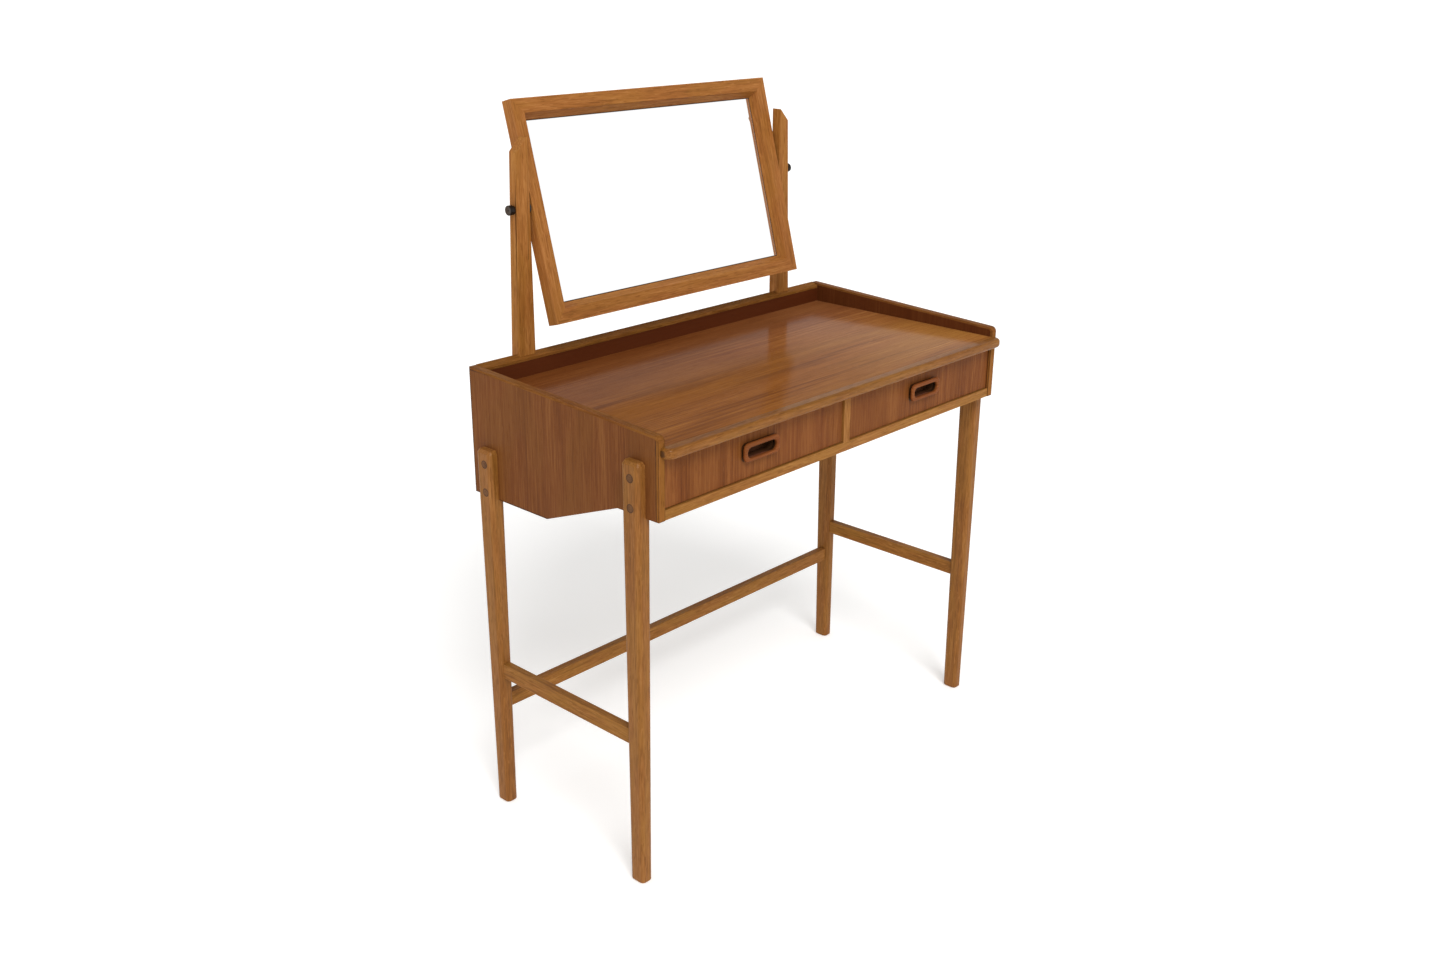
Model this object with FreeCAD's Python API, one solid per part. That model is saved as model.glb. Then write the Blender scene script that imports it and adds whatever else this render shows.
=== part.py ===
"""Vanity table with two drawers and a tilting mirror, in millimetres.

+X runs to the sitter's right, +Y to the back, +Z up.  The origin is on the floor, in the
middle of the whole object's width and depth.  While it is being drawn, Y is counted from the
front edges of the side panels; move_to_origin() shifts every piece at the end.
"""
import os
import math
import FreeCAD, Part

# ---------------------------------------------------------------- case
CASE_WIDTH = 850.0            # over the outer faces of the side panels
PANEL_THICKNESS = 13.0
CASE_DEPTH = 414.0            # front edge to back face
TOP_SURFACE = 721.3           # height of the table surface
SIDE_DROP_FRONT = 110.3       # sides' lower edge below the table surface, shallow part
SIDE_DROP_BACK = 171.6        # and deep part
SIDE_RISE_FRONT = 16.2        # sides' upper edge above the table surface, at the front
SIDE_RISE_BACK = 34.7         # and at the back
PANEL_SLOPE_START = 84.0      # where the lower edge begins to drop
PANEL_SLOPE_END = 241.0       # where it is level again
PANEL_CORNER_RADIUS = 9.0     # front upper corner
LIPPING_THICKNESS = 4.0       # solid strip on the front and upper edges

TOP_THICKNESS = 16.0
LIP_OVERHANG = 18.0           # front strip, forward of the panels
LIP_END_INSET = 4.0           # its ends stop short of the panels' outer faces
LIP_CORNER_RADIUS = 15.0      # in plan
LIP_EDGE_RADIUS = 6.0

BACK_THICKNESS = 14.0
BACK_RAISED = 6.3             # its lower edge above the sides' lower edge
GALLERY_RISE_FRONT = 30.1     # its upper edge above the table surface, front arris
GALLERY_RISE_BACK = 35.4      # and back arris
GALLERY_LIPPING_RISE = 24.7   # where its solid strip begins

FRAME_SETBACK = 1.0           # rail and divider behind the panels' front edges
RAIL_HEIGHT = 15.0
RAIL_DEPTH = 18.0
DIVIDER_WIDTH = 15.0
PARTITION_THICKNESS = 12.0
DUST_BOARD_THICKNESS = 6.0
DUST_BOARD_RAISED = 10.0      # its upper face above the rail's lower edge
RUNNER_WIDTH = 9.0
RUNNER_RAISED = 0.5           # runners above the rail
STOP_GAP = 2.0                # behind the closed drawer
STOP_WIDTH = 16.0
STOP_HEIGHT = 14.0
STOP_INSET = 60.0             # middle of a stop from the end of the drawer front

# ---------------------------------------------------------------- drawers
DRAWER_SETBACK = 4.5          # drawer fronts behind the panels' front edges
DRAWER_GAP = 1.5              # round each drawer front
DRAWER_FRONT_THICKNESS = 18.0
DRAWER_SIDE_THICKNESS = 10.0
DRAWER_BACK_THICKNESS = 10.0
DRAWER_BACK_CLEARANCE = 15.0  # box to the back board
DRAWER_SIDE_CLEARANCE = 2.0   # box to the case on either side
DRAWER_TOP_CLEARANCE = 11.3   # sides below the table top
DRAWER_BACK_DROP = 4.0        # back lower than the sides
DRAWER_RUNNING_GAP = 0.5      # under the drawer sides
DRAWER_BOTTOM_THICKNESS = 4.0
DRAWER_BOTTOM_RISE = 7.0      # groove above the sides' lower edge
DRAWER_GROOVE_DEPTH = 5.0

HANDLE_LENGTH = 80.0
HANDLE_HEIGHT = 31.4
HANDLE_STANDOFF = 8.6         # front of the handle ahead of the drawer front
HANDLE_PLATE = 4.0            # thickness of the visible ring
HANDLE_UNDERCUT = 3.8
HANDLE_CORNER_RADIUS = 9.0
HANDLE_ARRIS = 1.2
HANDLE_RIM = 7.3              # from the handle's edge to the finger hole
SLOT_DEPTH_IN_FRONT = 12.0
HANDLE_RISE = 2.8             # above the middle of the drawer front

# ---------------------------------------------------------------- legs and stretchers
LEG_LAP = 15.0                # how far a leg stands out from its panel
LEG_THICKNESS_TOP = 27.0
LEG_THICKNESS_FOOT = 22.3
LEG_WIDTH_TOP = 34.5
LEG_WIDTH_FOOT = 29.0
LEG_CORNER_RADIUS = 8.0
LEG_END_BEVEL = 5.0           # height of the bevel round the upper end
LEG_END_DRAW_IN = 4.0         # and how far it draws the end in
FOOT_BEVEL = 2.0
FRONT_LEG_Y = 26.3            # front face of the front legs
FRONT_LEG_TOP_DROP = 26.2     # their upper ends below the table surface
BACK_LEG_INSET_TOP = 58.5     # front face of the back legs from the case's back, at the top
BACK_LEG_INSET_FOOT = 60.1    # and at the floor
BACK_LEG_RISE = 82.0          # their upper ends above the sides' lower edge
PLUG_RADIUS = 6.8
PLUG_DEPTH = 5.0
FRONT_PLUG_INSET = 15.8       # behind the leg's front face
FRONT_PLUG_DROPS = (68.9, 23.9)     # below the leg's upper end
BACK_PLUG_INSET = 14.0
BACK_PLUG_DROPS = (68.9, 22.3)
SCREW_RADIUS = 2.0
SCREW_HEAD_RADIUS = 4.0
SCREW_HEAD_HEIGHT = 2.5
SCREW_BITE = 9.0              # length in the panel

STRETCHER_HEIGHT = 25.0
SIDE_STRETCHER_BOTTOM = 238.3
SIDE_STRETCHER_THICKNESS = 14.0
BACK_STRETCHER_BOTTOM = 177.3
BACK_STRETCHER_THICKNESS = 15.0
BACK_STRETCHER_INSET = 14.1   # middle of its thickness behind the back legs' front face
TENON_LENGTH = 12.0
TENON_SHOULDER = 3.5
TENON_CLEARANCE = 0.1

# ---------------------------------------------------------------- mirror
POST_THICKNESS = 19.0
POST_HOUSING = 7.5            # let into the back board
POST_WIDTH_AT_GALLERY = 33.5
POST_TAPER = 0.0377           # narrowing per millimetre of height, outer edge
POST_BOTTOM_RISE = 24.0       # lower end above the back board's lower edge
POST_RISE = 371.7             # upper end above the table surface
POST_TOP_CUT = 21.5           # sloping cut at the upper outer corner
POST_TOP_FLAT = 1.0           # what the cut leaves of the upper end
POST_SCREW_RISES = (20.0, 80.0, 140.0)      # above the post's lower end
POST_SCREW_TIP = 2.0          # from its tip to the back board's front face

PIVOT_RISE = 263.1            # above the table surface
MIRROR_TILT = 15.34           # degrees, upper edge leaning back
MIRROR_WIDTH = 587.0
MIRROR_ABOVE_PIVOT = 164.6
MIRROR_BELOW_PIVOT = 186.1
PIVOT_BEHIND_FRONT = 12.0
FRAME_FACE_WIDTH = 22.6
FRAME_SPLAY = 9.0             # inner bevel, measured across the face
FRAME_SPLAY_DEPTH = 14.0
FRAME_INNER_LIP = 1.0         # square edge between the splay and the glass
REBATE_WIDTH = 6.0
GLASS_THICKNESS = 3.0
BACKING_THICKNESS = 3.0
GLASS_CLEARANCE = 0.5
CLIP_LENGTH = 24.0
CLIP_WIDTH = 10.0
CLIP_THICKNESS = 1.0
CLIP_SCREW_RADIUS = 1.1
CLIP_SCREW_LENGTH = 9.0
CLIP_HEAD_RADIUS = 2.2
CLIP_HEAD_HEIGHT = 0.8
WASHER_RADIUS = 9.0
WASHER_THICKNESS = 3.0
WASHER_GAP = 0.5              # washer to post
WASHER_BORE_CLEARANCE = 0.4
STUD_RADIUS = 3.0
STUD_RUNNING_CLEARANCE = 0.05
INSERT_RADIUS = 5.0
INSERT_LENGTH = 13.5
STUD_END_GAP = 1.0            # from the stud's end to the bottom of its hole
STUD_COVER = 4.0              # knob left over the stud's outer end
KNOB_RADIUS = 8.5
KNOB_LENGTH = 10.5
KNOB_NECK_RADIUS = 7.0
KNOB_NECK_LENGTH = 2.6
KNOB_EDGE_RADIUS = 2.2
KNOB_STANDOFF = 0.7

# ---------------------------------------------------------------- worked out from the above
HALF = CASE_WIDTH / 2.0
INNER = HALF - PANEL_THICKNESS
TOP_UNDERSIDE = TOP_SURFACE - TOP_THICKNESS
PANEL_BOTTOM_FRONT = TOP_SURFACE - SIDE_DROP_FRONT
PANEL_BOTTOM_BACK = TOP_SURFACE - SIDE_DROP_BACK
PANEL_TOP_FRONT = TOP_SURFACE + SIDE_RISE_FRONT
PANEL_TOP_BACK = TOP_SURFACE + SIDE_RISE_BACK
BACK_BOTTOM = PANEL_BOTTOM_BACK + BACK_RAISED
GALLERY_FRONT_TOP = TOP_SURFACE + GALLERY_RISE_FRONT
GALLERY_BACK_TOP = TOP_SURFACE + GALLERY_RISE_BACK
GALLERY_LIPPING_BOTTOM = TOP_SURFACE + GALLERY_LIPPING_RISE
BACK_FRONT_FACE = CASE_DEPTH - BACK_THICKNESS
RAIL_TOP = PANEL_BOTTOM_FRONT + RAIL_HEIGHT
RAIL_BACK = FRAME_SETBACK + RAIL_DEPTH
DUST_BOARD_TOP = PANEL_BOTTOM_FRONT + DUST_BOARD_RAISED
RUNNER_TOP = RAIL_TOP + RUNNER_RAISED
LEG_OUTER = HALF + LEG_LAP
FRONT_LEG_TOP = TOP_SURFACE - FRONT_LEG_TOP_DROP
BACK_LEG_TOP = PANEL_BOTTOM_BACK + BACK_LEG_RISE
BACK_LEG_Y_TOP = CASE_DEPTH - BACK_LEG_INSET_TOP
BACK_LEG_Y_FOOT = CASE_DEPTH - BACK_LEG_INSET_FOOT
BACK_STRETCHER_Y = BACK_LEG_Y_FOOT + BACK_STRETCHER_INSET
DRAWER_LOW_X = DIVIDER_WIDTH / 2.0 + DRAWER_GAP
DRAWER_HIGH_X = INNER - DRAWER_GAP
DRAWER_MIDDLE_X = (DRAWER_LOW_X + DRAWER_HIGH_X) / 2.0
DRAWER_FRONT_BOTTOM = RAIL_TOP + DRAWER_GAP
DRAWER_FRONT_TOP = TOP_UNDERSIDE - DRAWER_GAP
DRAWER_SIDE_BOTTOM = RUNNER_TOP + DRAWER_RUNNING_GAP
DRAWER_SIDE_TOP = TOP_UNDERSIDE - DRAWER_TOP_CLEARANCE
DRAWER_FRONT_BACK = DRAWER_SETBACK + DRAWER_FRONT_THICKNESS
DRAWER_END = BACK_FRONT_FACE - DRAWER_BACK_CLEARANCE
BOX_LOW_X = DIVIDER_WIDTH / 2.0 + DRAWER_SIDE_CLEARANCE
BOX_HIGH_X = INNER - DRAWER_SIDE_CLEARANCE
HANDLE_Z = (DRAWER_FRONT_BOTTOM + DRAWER_FRONT_TOP) / 2.0 + HANDLE_RISE
SLOT_LENGTH = HANDLE_LENGTH - 2.0 * HANDLE_RIM
SLOT_HEIGHT = HANDLE_HEIGHT - 2.0 * HANDLE_RIM
MIRROR_HALF = MIRROR_WIDTH / 2.0
POST_INNER_X = MIRROR_HALF + WASHER_THICKNESS + WASHER_GAP
POST_BOTTOM = BACK_BOTTOM + POST_BOTTOM_RISE
POST_TOP = TOP_SURFACE + POST_RISE
POST_FRONT = CASE_DEPTH - POST_HOUSING
PIVOT_Y = POST_FRONT + POST_THICKNESS / 2.0
PIVOT_HEIGHT = TOP_SURFACE + PIVOT_RISE
GLASS_DEPTH = FRAME_SPLAY_DEPTH + FRAME_INNER_LIP
FRAME_THICKNESS = GLASS_DEPTH + GLASS_THICKNESS + BACKING_THICKNESS
FRAME_DEEP_WIDTH = FRAME_FACE_WIDTH + FRAME_SPLAY
LEAN = math.radians(MIRROR_TILT)
FRAME_BEHIND_PIVOT = FRAME_THICKNESS - PIVOT_BEHIND_FRONT
BACKMOST = PIVOT_Y + MIRROR_ABOVE_PIVOT * math.sin(LEAN) + FRAME_BEHIND_PIVOT * math.cos(LEAN)
ORIGIN_Y = (BACKMOST - LIP_OVERHANG) / 2.0

X_AXIS = FreeCAD.Vector(1, 0, 0)
Y_AXIS = FreeCAD.Vector(0, 1, 0)
Z_AXIS = FreeCAD.Vector(0, 0, 1)


# ---------------------------------------------------------------- drawing helpers
def box(x0, x1, y0, y1, z0, z1):
    """A rectangular block between two corners."""
    return Part.makeBox(x1 - x0, y1 - y0, z1 - z0, FreeCAD.Vector(x0, y0, z0))


def prism_x(outline, x0, x1):
    """A straight-edged (y, z) outline carried from x0 to x1."""
    points = [FreeCAD.Vector(x0, y, z) for y, z in outline]
    face = Part.Face(Part.makePolygon(points + points[:1]))
    return face.extrude(X_AXIS * (x1 - x0))


def prism_y(outline, y0, y1):
    """A straight-edged (x, z) outline carried from y0 to y1."""
    points = [FreeCAD.Vector(x, y0, z) for x, z in outline]
    face = Part.Face(Part.makePolygon(points + points[:1]))
    return face.extrude(Y_AXIS * (y1 - y0))


def rod_x(x0, x1, y, z, radius):
    """A round bar lying along X."""
    return Part.makeCylinder(radius, x1 - x0, FreeCAD.Vector(x0, y, z), X_AXIS)


def rod_y(y0, y1, x, z, radius):
    """A round bar lying along Y."""
    return Part.makeCylinder(radius, y1 - y0, FreeCAD.Vector(x, y0, z), Y_AXIS)


def rounded_loop(x0, x1, y0, y1, z, radius):
    """A level rectangle with rounded corners, as a closed wire."""
    corners = ((x1, y1, 0), (x0, y1, 90), (x0, y0, 180), (x1, y0, 270))
    pieces = []
    last = None
    for x, y, start in corners:
        centre = FreeCAD.Vector(x - math.copysign(radius, x - (x0 + x1) / 2.0),
                                y - math.copysign(radius, y - (y0 + y1) / 2.0), z)
        ends = []
        for turn in (0, 45, 90):
            angle = math.radians(start + turn)
            ends.append(centre + FreeCAD.Vector(math.cos(angle), math.sin(angle), 0) * radius)
        if last is not None:
            pieces.append(Part.makeLine(last, ends[0]))
        pieces.append(Part.Arc(ends[0], ends[1], ends[2]).toShape())
        last = ends[2]
    pieces.append(Part.makeLine(last, pieces[0].valueAt(pieces[0].FirstParameter)))
    return Part.Wire(pieces)


def upright_slab(x0, x1, z0, z1, y0, y1, radius):
    """A plate facing the front, y0 to y1 thick, with its four corners rounded."""
    slab = box(x0, x1, y0, y1, z0, z1)
    corners = []
    for edge in slab.Edges:
        line = edge.Vertexes[1].Point - edge.Vertexes[0].Point
        if abs(line.y) > 1e-6:
            corners.append(edge)
    return slab.makeFillet(radius, corners)


def mirrored(shape):
    """The same piece on the other side of the middle plane."""
    return shape.mirror(FreeCAD.Vector(0, 0, 0), X_AXIS)


def both_sides(shape):
    """A piece and its mirror image, as one group."""
    return Part.makeCompound([shape, mirrored(shape)])


def move_to_origin(shape):
    """Shift from the drawing's Y to the object's own origin."""
    placed = shape.copy()
    placed.translate(FreeCAD.Vector(0, -ORIGIN_Y, 0))
    return placed


# ---------------------------------------------------------------- case
def side_outline(inset):
    """Outline of a side panel, with its front and upper edges drawn in by inset."""
    drop = inset / math.cos(math.atan2(PANEL_TOP_BACK - PANEL_TOP_FRONT, CASE_DEPTH))
    rise = (PANEL_TOP_BACK - PANEL_TOP_FRONT) * inset / CASE_DEPTH
    return [(inset, PANEL_BOTTOM_FRONT),
            (PANEL_SLOPE_START, PANEL_BOTTOM_FRONT),
            (PANEL_SLOPE_END, PANEL_BOTTOM_BACK),
            (CASE_DEPTH, PANEL_BOTTOM_BACK),
            (CASE_DEPTH, PANEL_TOP_BACK - drop),
            (inset, PANEL_TOP_FRONT - drop + rise)]


def side_board(inset):
    """A right-hand side board with its front upper corner rounded."""
    outline = side_outline(inset)
    board = prism_x(outline, INNER, HALF)
    corner_y, corner_z = outline[-1]
    corner = []
    for edge in board.Edges:
        middle = edge.CenterOfMass
        if abs(middle.y - corner_y) < 1e-4 and abs(middle.z - corner_z) < 1e-4:
            corner.append(edge)
    return board.makeFillet(PANEL_CORNER_RADIUS - inset, corner)


def side_panel():
    """Veneered right-hand side, drilled for the leg screws."""
    panel = side_board(LIPPING_THICKNESS)
    for screw in leg_screw_set():
        panel = panel.cut(screw)
    return panel


def edge_lipping():
    """Solid strip along the front and upper edges of the right-hand side."""
    return side_board(0.0).cut(side_board(LIPPING_THICKNESS))


def table_top():
    """Board between the side panels, from the front strip to the back board."""
    return box(-INNER, INNER, 0, BACK_FRONT_FACE, TOP_UNDERSIDE, TOP_SURFACE)


def front_lip():
    """Rounded strip along the front of the table top, overhanging the panel edges."""
    end = HALF - LIP_END_INSET
    strip = box(-end, end, -LIP_OVERHANG, 0, TOP_UNDERSIDE, TOP_SURFACE)
    uprights = []
    for edge in strip.Edges:
        line = edge.Vertexes[1].Point - edge.Vertexes[0].Point
        if abs(line.z) > 1e-6 and edge.CenterOfMass.y < -1:
            uprights.append(edge)
    strip = strip.makeFillet(LIP_CORNER_RADIUS, uprights)
    rim = []
    for edge in strip.Edges:
        middle = edge.CenterOfMass
        level = min(abs(middle.z - TOP_SURFACE), abs(middle.z - TOP_UNDERSIDE)) < 1e-4
        if level and middle.y < -1e-3:
            rim.append(edge)
    return strip.makeFillet(LIP_EDGE_RADIUS, rim)


def post_solid():
    """Right-hand mirror post: tapering board with a sloping cut at its upper outer corner."""
    def outer(z):
        return POST_INNER_X + POST_WIDTH_AT_GALLERY - (z - GALLERY_BACK_TOP) * POST_TAPER
    cut_start = POST_TOP - POST_TOP_CUT
    outline = [(POST_INNER_X, POST_BOTTOM),
               (outer(POST_BOTTOM), POST_BOTTOM),
               (outer(cut_start), cut_start),
               (POST_INNER_X + POST_TOP_FLAT, POST_TOP),
               (POST_INNER_X, POST_TOP)]
    return prism_y(outline, POST_FRONT, POST_FRONT + POST_THICKNESS)


def back_panel():
    """Back board of the case, housed for the two mirror posts."""
    board = box(-INNER, INNER, BACK_FRONT_FACE, CASE_DEPTH, BACK_BOTTOM, GALLERY_LIPPING_BOTTOM)
    board = board.cut(post_solid())
    board = board.cut(mirrored(post_solid()))
    for screw in post_screw_set():
        board = board.cut(screw)
        board = board.cut(mirrored(screw))
    return board


def gallery_lipping():
    """Solid strip on the upper edge of the back board, sloping down to the front."""
    outline = [(BACK_FRONT_FACE, GALLERY_LIPPING_BOTTOM),
               (CASE_DEPTH, GALLERY_LIPPING_BOTTOM),
               (CASE_DEPTH, GALLERY_BACK_TOP),
               (BACK_FRONT_FACE, GALLERY_FRONT_TOP)]
    strip = prism_x(outline, -INNER, INNER)
    strip = strip.cut(post_solid())
    return strip.cut(mirrored(post_solid()))


def bottom_rail():
    """Front rail under the drawers."""
    return box(-INNER, INNER, FRAME_SETBACK, RAIL_BACK, PANEL_BOTTOM_FRONT, RAIL_TOP)


def dust_board():
    """Thin board closing the case under the drawers."""
    underside = DUST_BOARD_TOP - DUST_BOARD_THICKNESS
    return box(-INNER, INNER, RAIL_BACK, BACK_FRONT_FACE, underside, DUST_BOARD_TOP)


def drawer_divider():
    """Upright between the two drawers, in the front frame."""
    half = DIVIDER_WIDTH / 2.0
    return box(-half, half, FRAME_SETBACK, RAIL_BACK, RAIL_TOP, TOP_UNDERSIDE)


def centre_partition():
    """Board behind the divider, from the dust board to the table top."""
    half = PARTITION_THICKNESS / 2.0
    return box(-half, half, RAIL_BACK, BACK_FRONT_FACE, DUST_BOARD_TOP, TOP_UNDERSIDE)


def drawer_runners():
    """The two strips that carry the right-hand drawer."""
    outer_edge = INNER - RUNNER_WIDTH
    inner_edge = PARTITION_THICKNESS / 2.0
    outer = box(outer_edge, INNER, RAIL_BACK, BACK_FRONT_FACE, DUST_BOARD_TOP, RUNNER_TOP)
    inner = box(inner_edge, inner_edge + RUNNER_WIDTH + DRAWER_SIDE_CLEARANCE, RAIL_BACK,
                BACK_FRONT_FACE, DUST_BOARD_TOP, RUNNER_TOP)
    return Part.makeCompound([outer, inner])


def drawer_stops():
    """Blocks on the dust board that stop the drawers at the back, two for each drawer."""
    blocks = []
    for middle in (DRAWER_LOW_X + STOP_INSET, DRAWER_HIGH_X - STOP_INSET):
        block = box(middle - STOP_WIDTH / 2.0, middle + STOP_WIDTH / 2.0,
                    DRAWER_END + STOP_GAP, BACK_FRONT_FACE,
                    DUST_BOARD_TOP, DUST_BOARD_TOP + STOP_HEIGHT)
        blocks.append(block)
        blocks.append(mirrored(block))
    return Part.makeCompound(blocks)


# ---------------------------------------------------------------- right-hand drawer
def finger_slot(y0, y1):
    """Round-ended finger hole, between two depths."""
    end = SLOT_HEIGHT / 2.0
    half = SLOT_LENGTH / 2.0 - end
    middle = box(DRAWER_MIDDLE_X - half, DRAWER_MIDDLE_X + half, y0, y1,
                 HANDLE_Z - end, HANDLE_Z + end)
    low = rod_y(y0, y1, DRAWER_MIDDLE_X - half, HANDLE_Z, end)
    high = rod_y(y0, y1, DRAWER_MIDDLE_X + half, HANDLE_Z, end)
    return middle.fuse([low, high]).removeSplitter()


def drawer_bottom():
    """Thin board held in grooves in the front and sides."""
    low = DRAWER_SIDE_BOTTOM + DRAWER_BOTTOM_RISE
    inset = DRAWER_SIDE_THICKNESS - DRAWER_GROOVE_DEPTH
    return box(BOX_LOW_X + inset, BOX_HIGH_X - inset, DRAWER_FRONT_BACK - DRAWER_GROOVE_DEPTH,
               DRAWER_END, low, low + DRAWER_BOTTOM_THICKNESS)


def drawer_front():
    """Veneered front with the finger hole sunk into it and a groove for the bottom."""
    front = box(DRAWER_LOW_X, DRAWER_HIGH_X, DRAWER_SETBACK, DRAWER_FRONT_BACK,
                DRAWER_FRONT_BOTTOM, DRAWER_FRONT_TOP)
    front = front.cut(finger_slot(DRAWER_SETBACK, DRAWER_SETBACK + SLOT_DEPTH_IN_FRONT))
    return front.cut(drawer_bottom())


def drawer_side_inner():
    """Side nearest the middle of the table."""
    side = box(BOX_LOW_X, BOX_LOW_X + DRAWER_SIDE_THICKNESS, DRAWER_FRONT_BACK, DRAWER_END,
               DRAWER_SIDE_BOTTOM, DRAWER_SIDE_TOP)
    return side.cut(drawer_bottom())


def drawer_side_outer():
    """Side nearest the side panel."""
    side = box(BOX_HIGH_X - DRAWER_SIDE_THICKNESS, BOX_HIGH_X, DRAWER_FRONT_BACK, DRAWER_END,
               DRAWER_SIDE_BOTTOM, DRAWER_SIDE_TOP)
    return side.cut(drawer_bottom())


def drawer_back():
    """Back of the box, standing on the drawer bottom."""
    low = DRAWER_SIDE_BOTTOM + DRAWER_BOTTOM_RISE + DRAWER_BOTTOM_THICKNESS
    return box(BOX_LOW_X + DRAWER_SIDE_THICKNESS, BOX_HIGH_X - DRAWER_SIDE_THICKNESS,
               DRAWER_END - DRAWER_BACK_THICKNESS, DRAWER_END,
               low, DRAWER_SIDE_TOP - DRAWER_BACK_DROP)


def drawer_handle():
    """Ring-shaped pull: a rounded plate on a smaller neck, with the finger hole through both."""
    front = DRAWER_SETBACK - HANDLE_STANDOFF
    plate_back = front + HANDLE_PLATE
    half_x = HANDLE_LENGTH / 2.0
    half_z = HANDLE_HEIGHT / 2.0
    plate = upright_slab(DRAWER_MIDDLE_X - half_x, DRAWER_MIDDLE_X + half_x,
                         HANDLE_Z - half_z, HANDLE_Z + half_z,
                         front, plate_back, HANDLE_CORNER_RADIUS)
    plate = plate.cut(finger_slot(front, plate_back))
    rim = []
    for edge in plate.Edges:
        if abs(edge.CenterOfMass.y - front) < 1e-4:
            rim.append(edge)
    plate = plate.makeFillet(HANDLE_ARRIS, rim)
    neck_x = half_x - HANDLE_UNDERCUT
    neck_z = half_z - HANDLE_UNDERCUT
    neck = upright_slab(DRAWER_MIDDLE_X - neck_x, DRAWER_MIDDLE_X + neck_x,
                        HANDLE_Z - neck_z, HANDLE_Z + neck_z,
                        plate_back, DRAWER_SETBACK, HANDLE_CORNER_RADIUS - HANDLE_UNDERCUT)
    neck = neck.cut(finger_slot(plate_back, DRAWER_SETBACK))
    return plate.fuse(neck)


# ---------------------------------------------------------------- legs
def leg_section(z, y_foot, y_top, bevel):
    """Outline of a right-hand leg at height z, drawn in all round by bevel."""
    share = z / PANEL_BOTTOM_FRONT
    thickness = LEG_THICKNESS_FOOT + (LEG_THICKNESS_TOP - LEG_THICKNESS_FOOT) * share
    width = LEG_WIDTH_FOOT + (LEG_WIDTH_TOP - LEG_WIDTH_FOOT) * share
    y = y_foot + (y_top - y_foot) * share
    return rounded_loop(LEG_OUTER - thickness + bevel, LEG_OUTER - bevel,
                        y + bevel, y + width - bevel, z, LEG_CORNER_RADIUS - bevel)


def leg_blank(top, y_foot, y_top):
    """Tapered leg before it is notched, with beveled ends."""
    sections = [leg_section(0, y_foot, y_top, FOOT_BEVEL),
                leg_section(FOOT_BEVEL, y_foot, y_top, 0),
                leg_section(top - LEG_END_BEVEL, y_foot, y_top, 0),
                leg_section(top, y_foot, y_top, LEG_END_DRAW_IN)]
    pieces = []
    for low, high in zip(sections[:-1], sections[1:]):
        pieces.append(Part.makeLoft([low, high], True, True))
    return pieces[0].fuse(pieces[1:]).removeSplitter()


def front_leg_blank():
    return leg_blank(FRONT_LEG_TOP, FRONT_LEG_Y, FRONT_LEG_Y)


def back_leg_blank():
    return leg_blank(BACK_LEG_TOP, BACK_LEG_Y_FOOT, BACK_LEG_Y_TOP)


def notch(leg, shoulder):
    """Cut the leg back to the panel's outer face above its shoulder."""
    return leg.cut(box(0, HALF, -LIP_OVERHANG, CASE_DEPTH, shoulder, TOP_SURFACE))


def plug_places():
    """(y, z) of the four plugs on one side of the table."""
    front = [(FRONT_LEG_Y + FRONT_PLUG_INSET, FRONT_LEG_TOP - drop)
             for drop in FRONT_PLUG_DROPS]
    back = [(BACK_LEG_Y_TOP + BACK_PLUG_INSET, BACK_LEG_TOP - drop)
            for drop in BACK_PLUG_DROPS]
    return front + back


def leg_plug_set():
    """Plugs that hide the leg screws on the right-hand side."""
    return [rod_x(LEG_OUTER - PLUG_DEPTH, LEG_OUTER, y, z, PLUG_RADIUS)
            for y, z in plug_places()]


def leg_screw(y, z):
    """One screw under its plug, through the leg and into the panel."""
    seat = LEG_OUTER - PLUG_DEPTH
    head = rod_x(seat - SCREW_HEAD_HEIGHT, seat, y, z, SCREW_HEAD_RADIUS)
    shank = rod_x(HALF - SCREW_BITE, seat - SCREW_HEAD_HEIGHT, y, z, SCREW_RADIUS)
    return head.fuse(shank)


def leg_screw_set():
    return [leg_screw(y, z) for y, z in plug_places()]


def drilled(leg):
    """Bore a leg for its plugs and screws."""
    for tool in leg_plug_set() + leg_screw_set():
        leg = leg.cut(tool)
    return leg


def front_leg():
    leg = drilled(notch(front_leg_blank(), PANEL_BOTTOM_FRONT))
    return leg.cut(side_tenon(0, TENON_CLEARANCE))


def back_leg():
    leg = drilled(notch(back_leg_blank(), PANEL_BOTTOM_BACK))
    leg = leg.cut(side_tenon(1, TENON_CLEARANCE))
    return leg.cut(back_tenon(TENON_CLEARANCE))


# ---------------------------------------------------------------- stretchers
def side_stretcher_x():
    """Middle of the leg's thickness at the side stretcher's height."""
    share = (SIDE_STRETCHER_BOTTOM + STRETCHER_HEIGHT / 2.0) / PANEL_BOTTOM_FRONT
    thickness = LEG_THICKNESS_FOOT + (LEG_THICKNESS_TOP - LEG_THICKNESS_FOOT) * share
    return LEG_OUTER - thickness / 2.0


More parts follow.
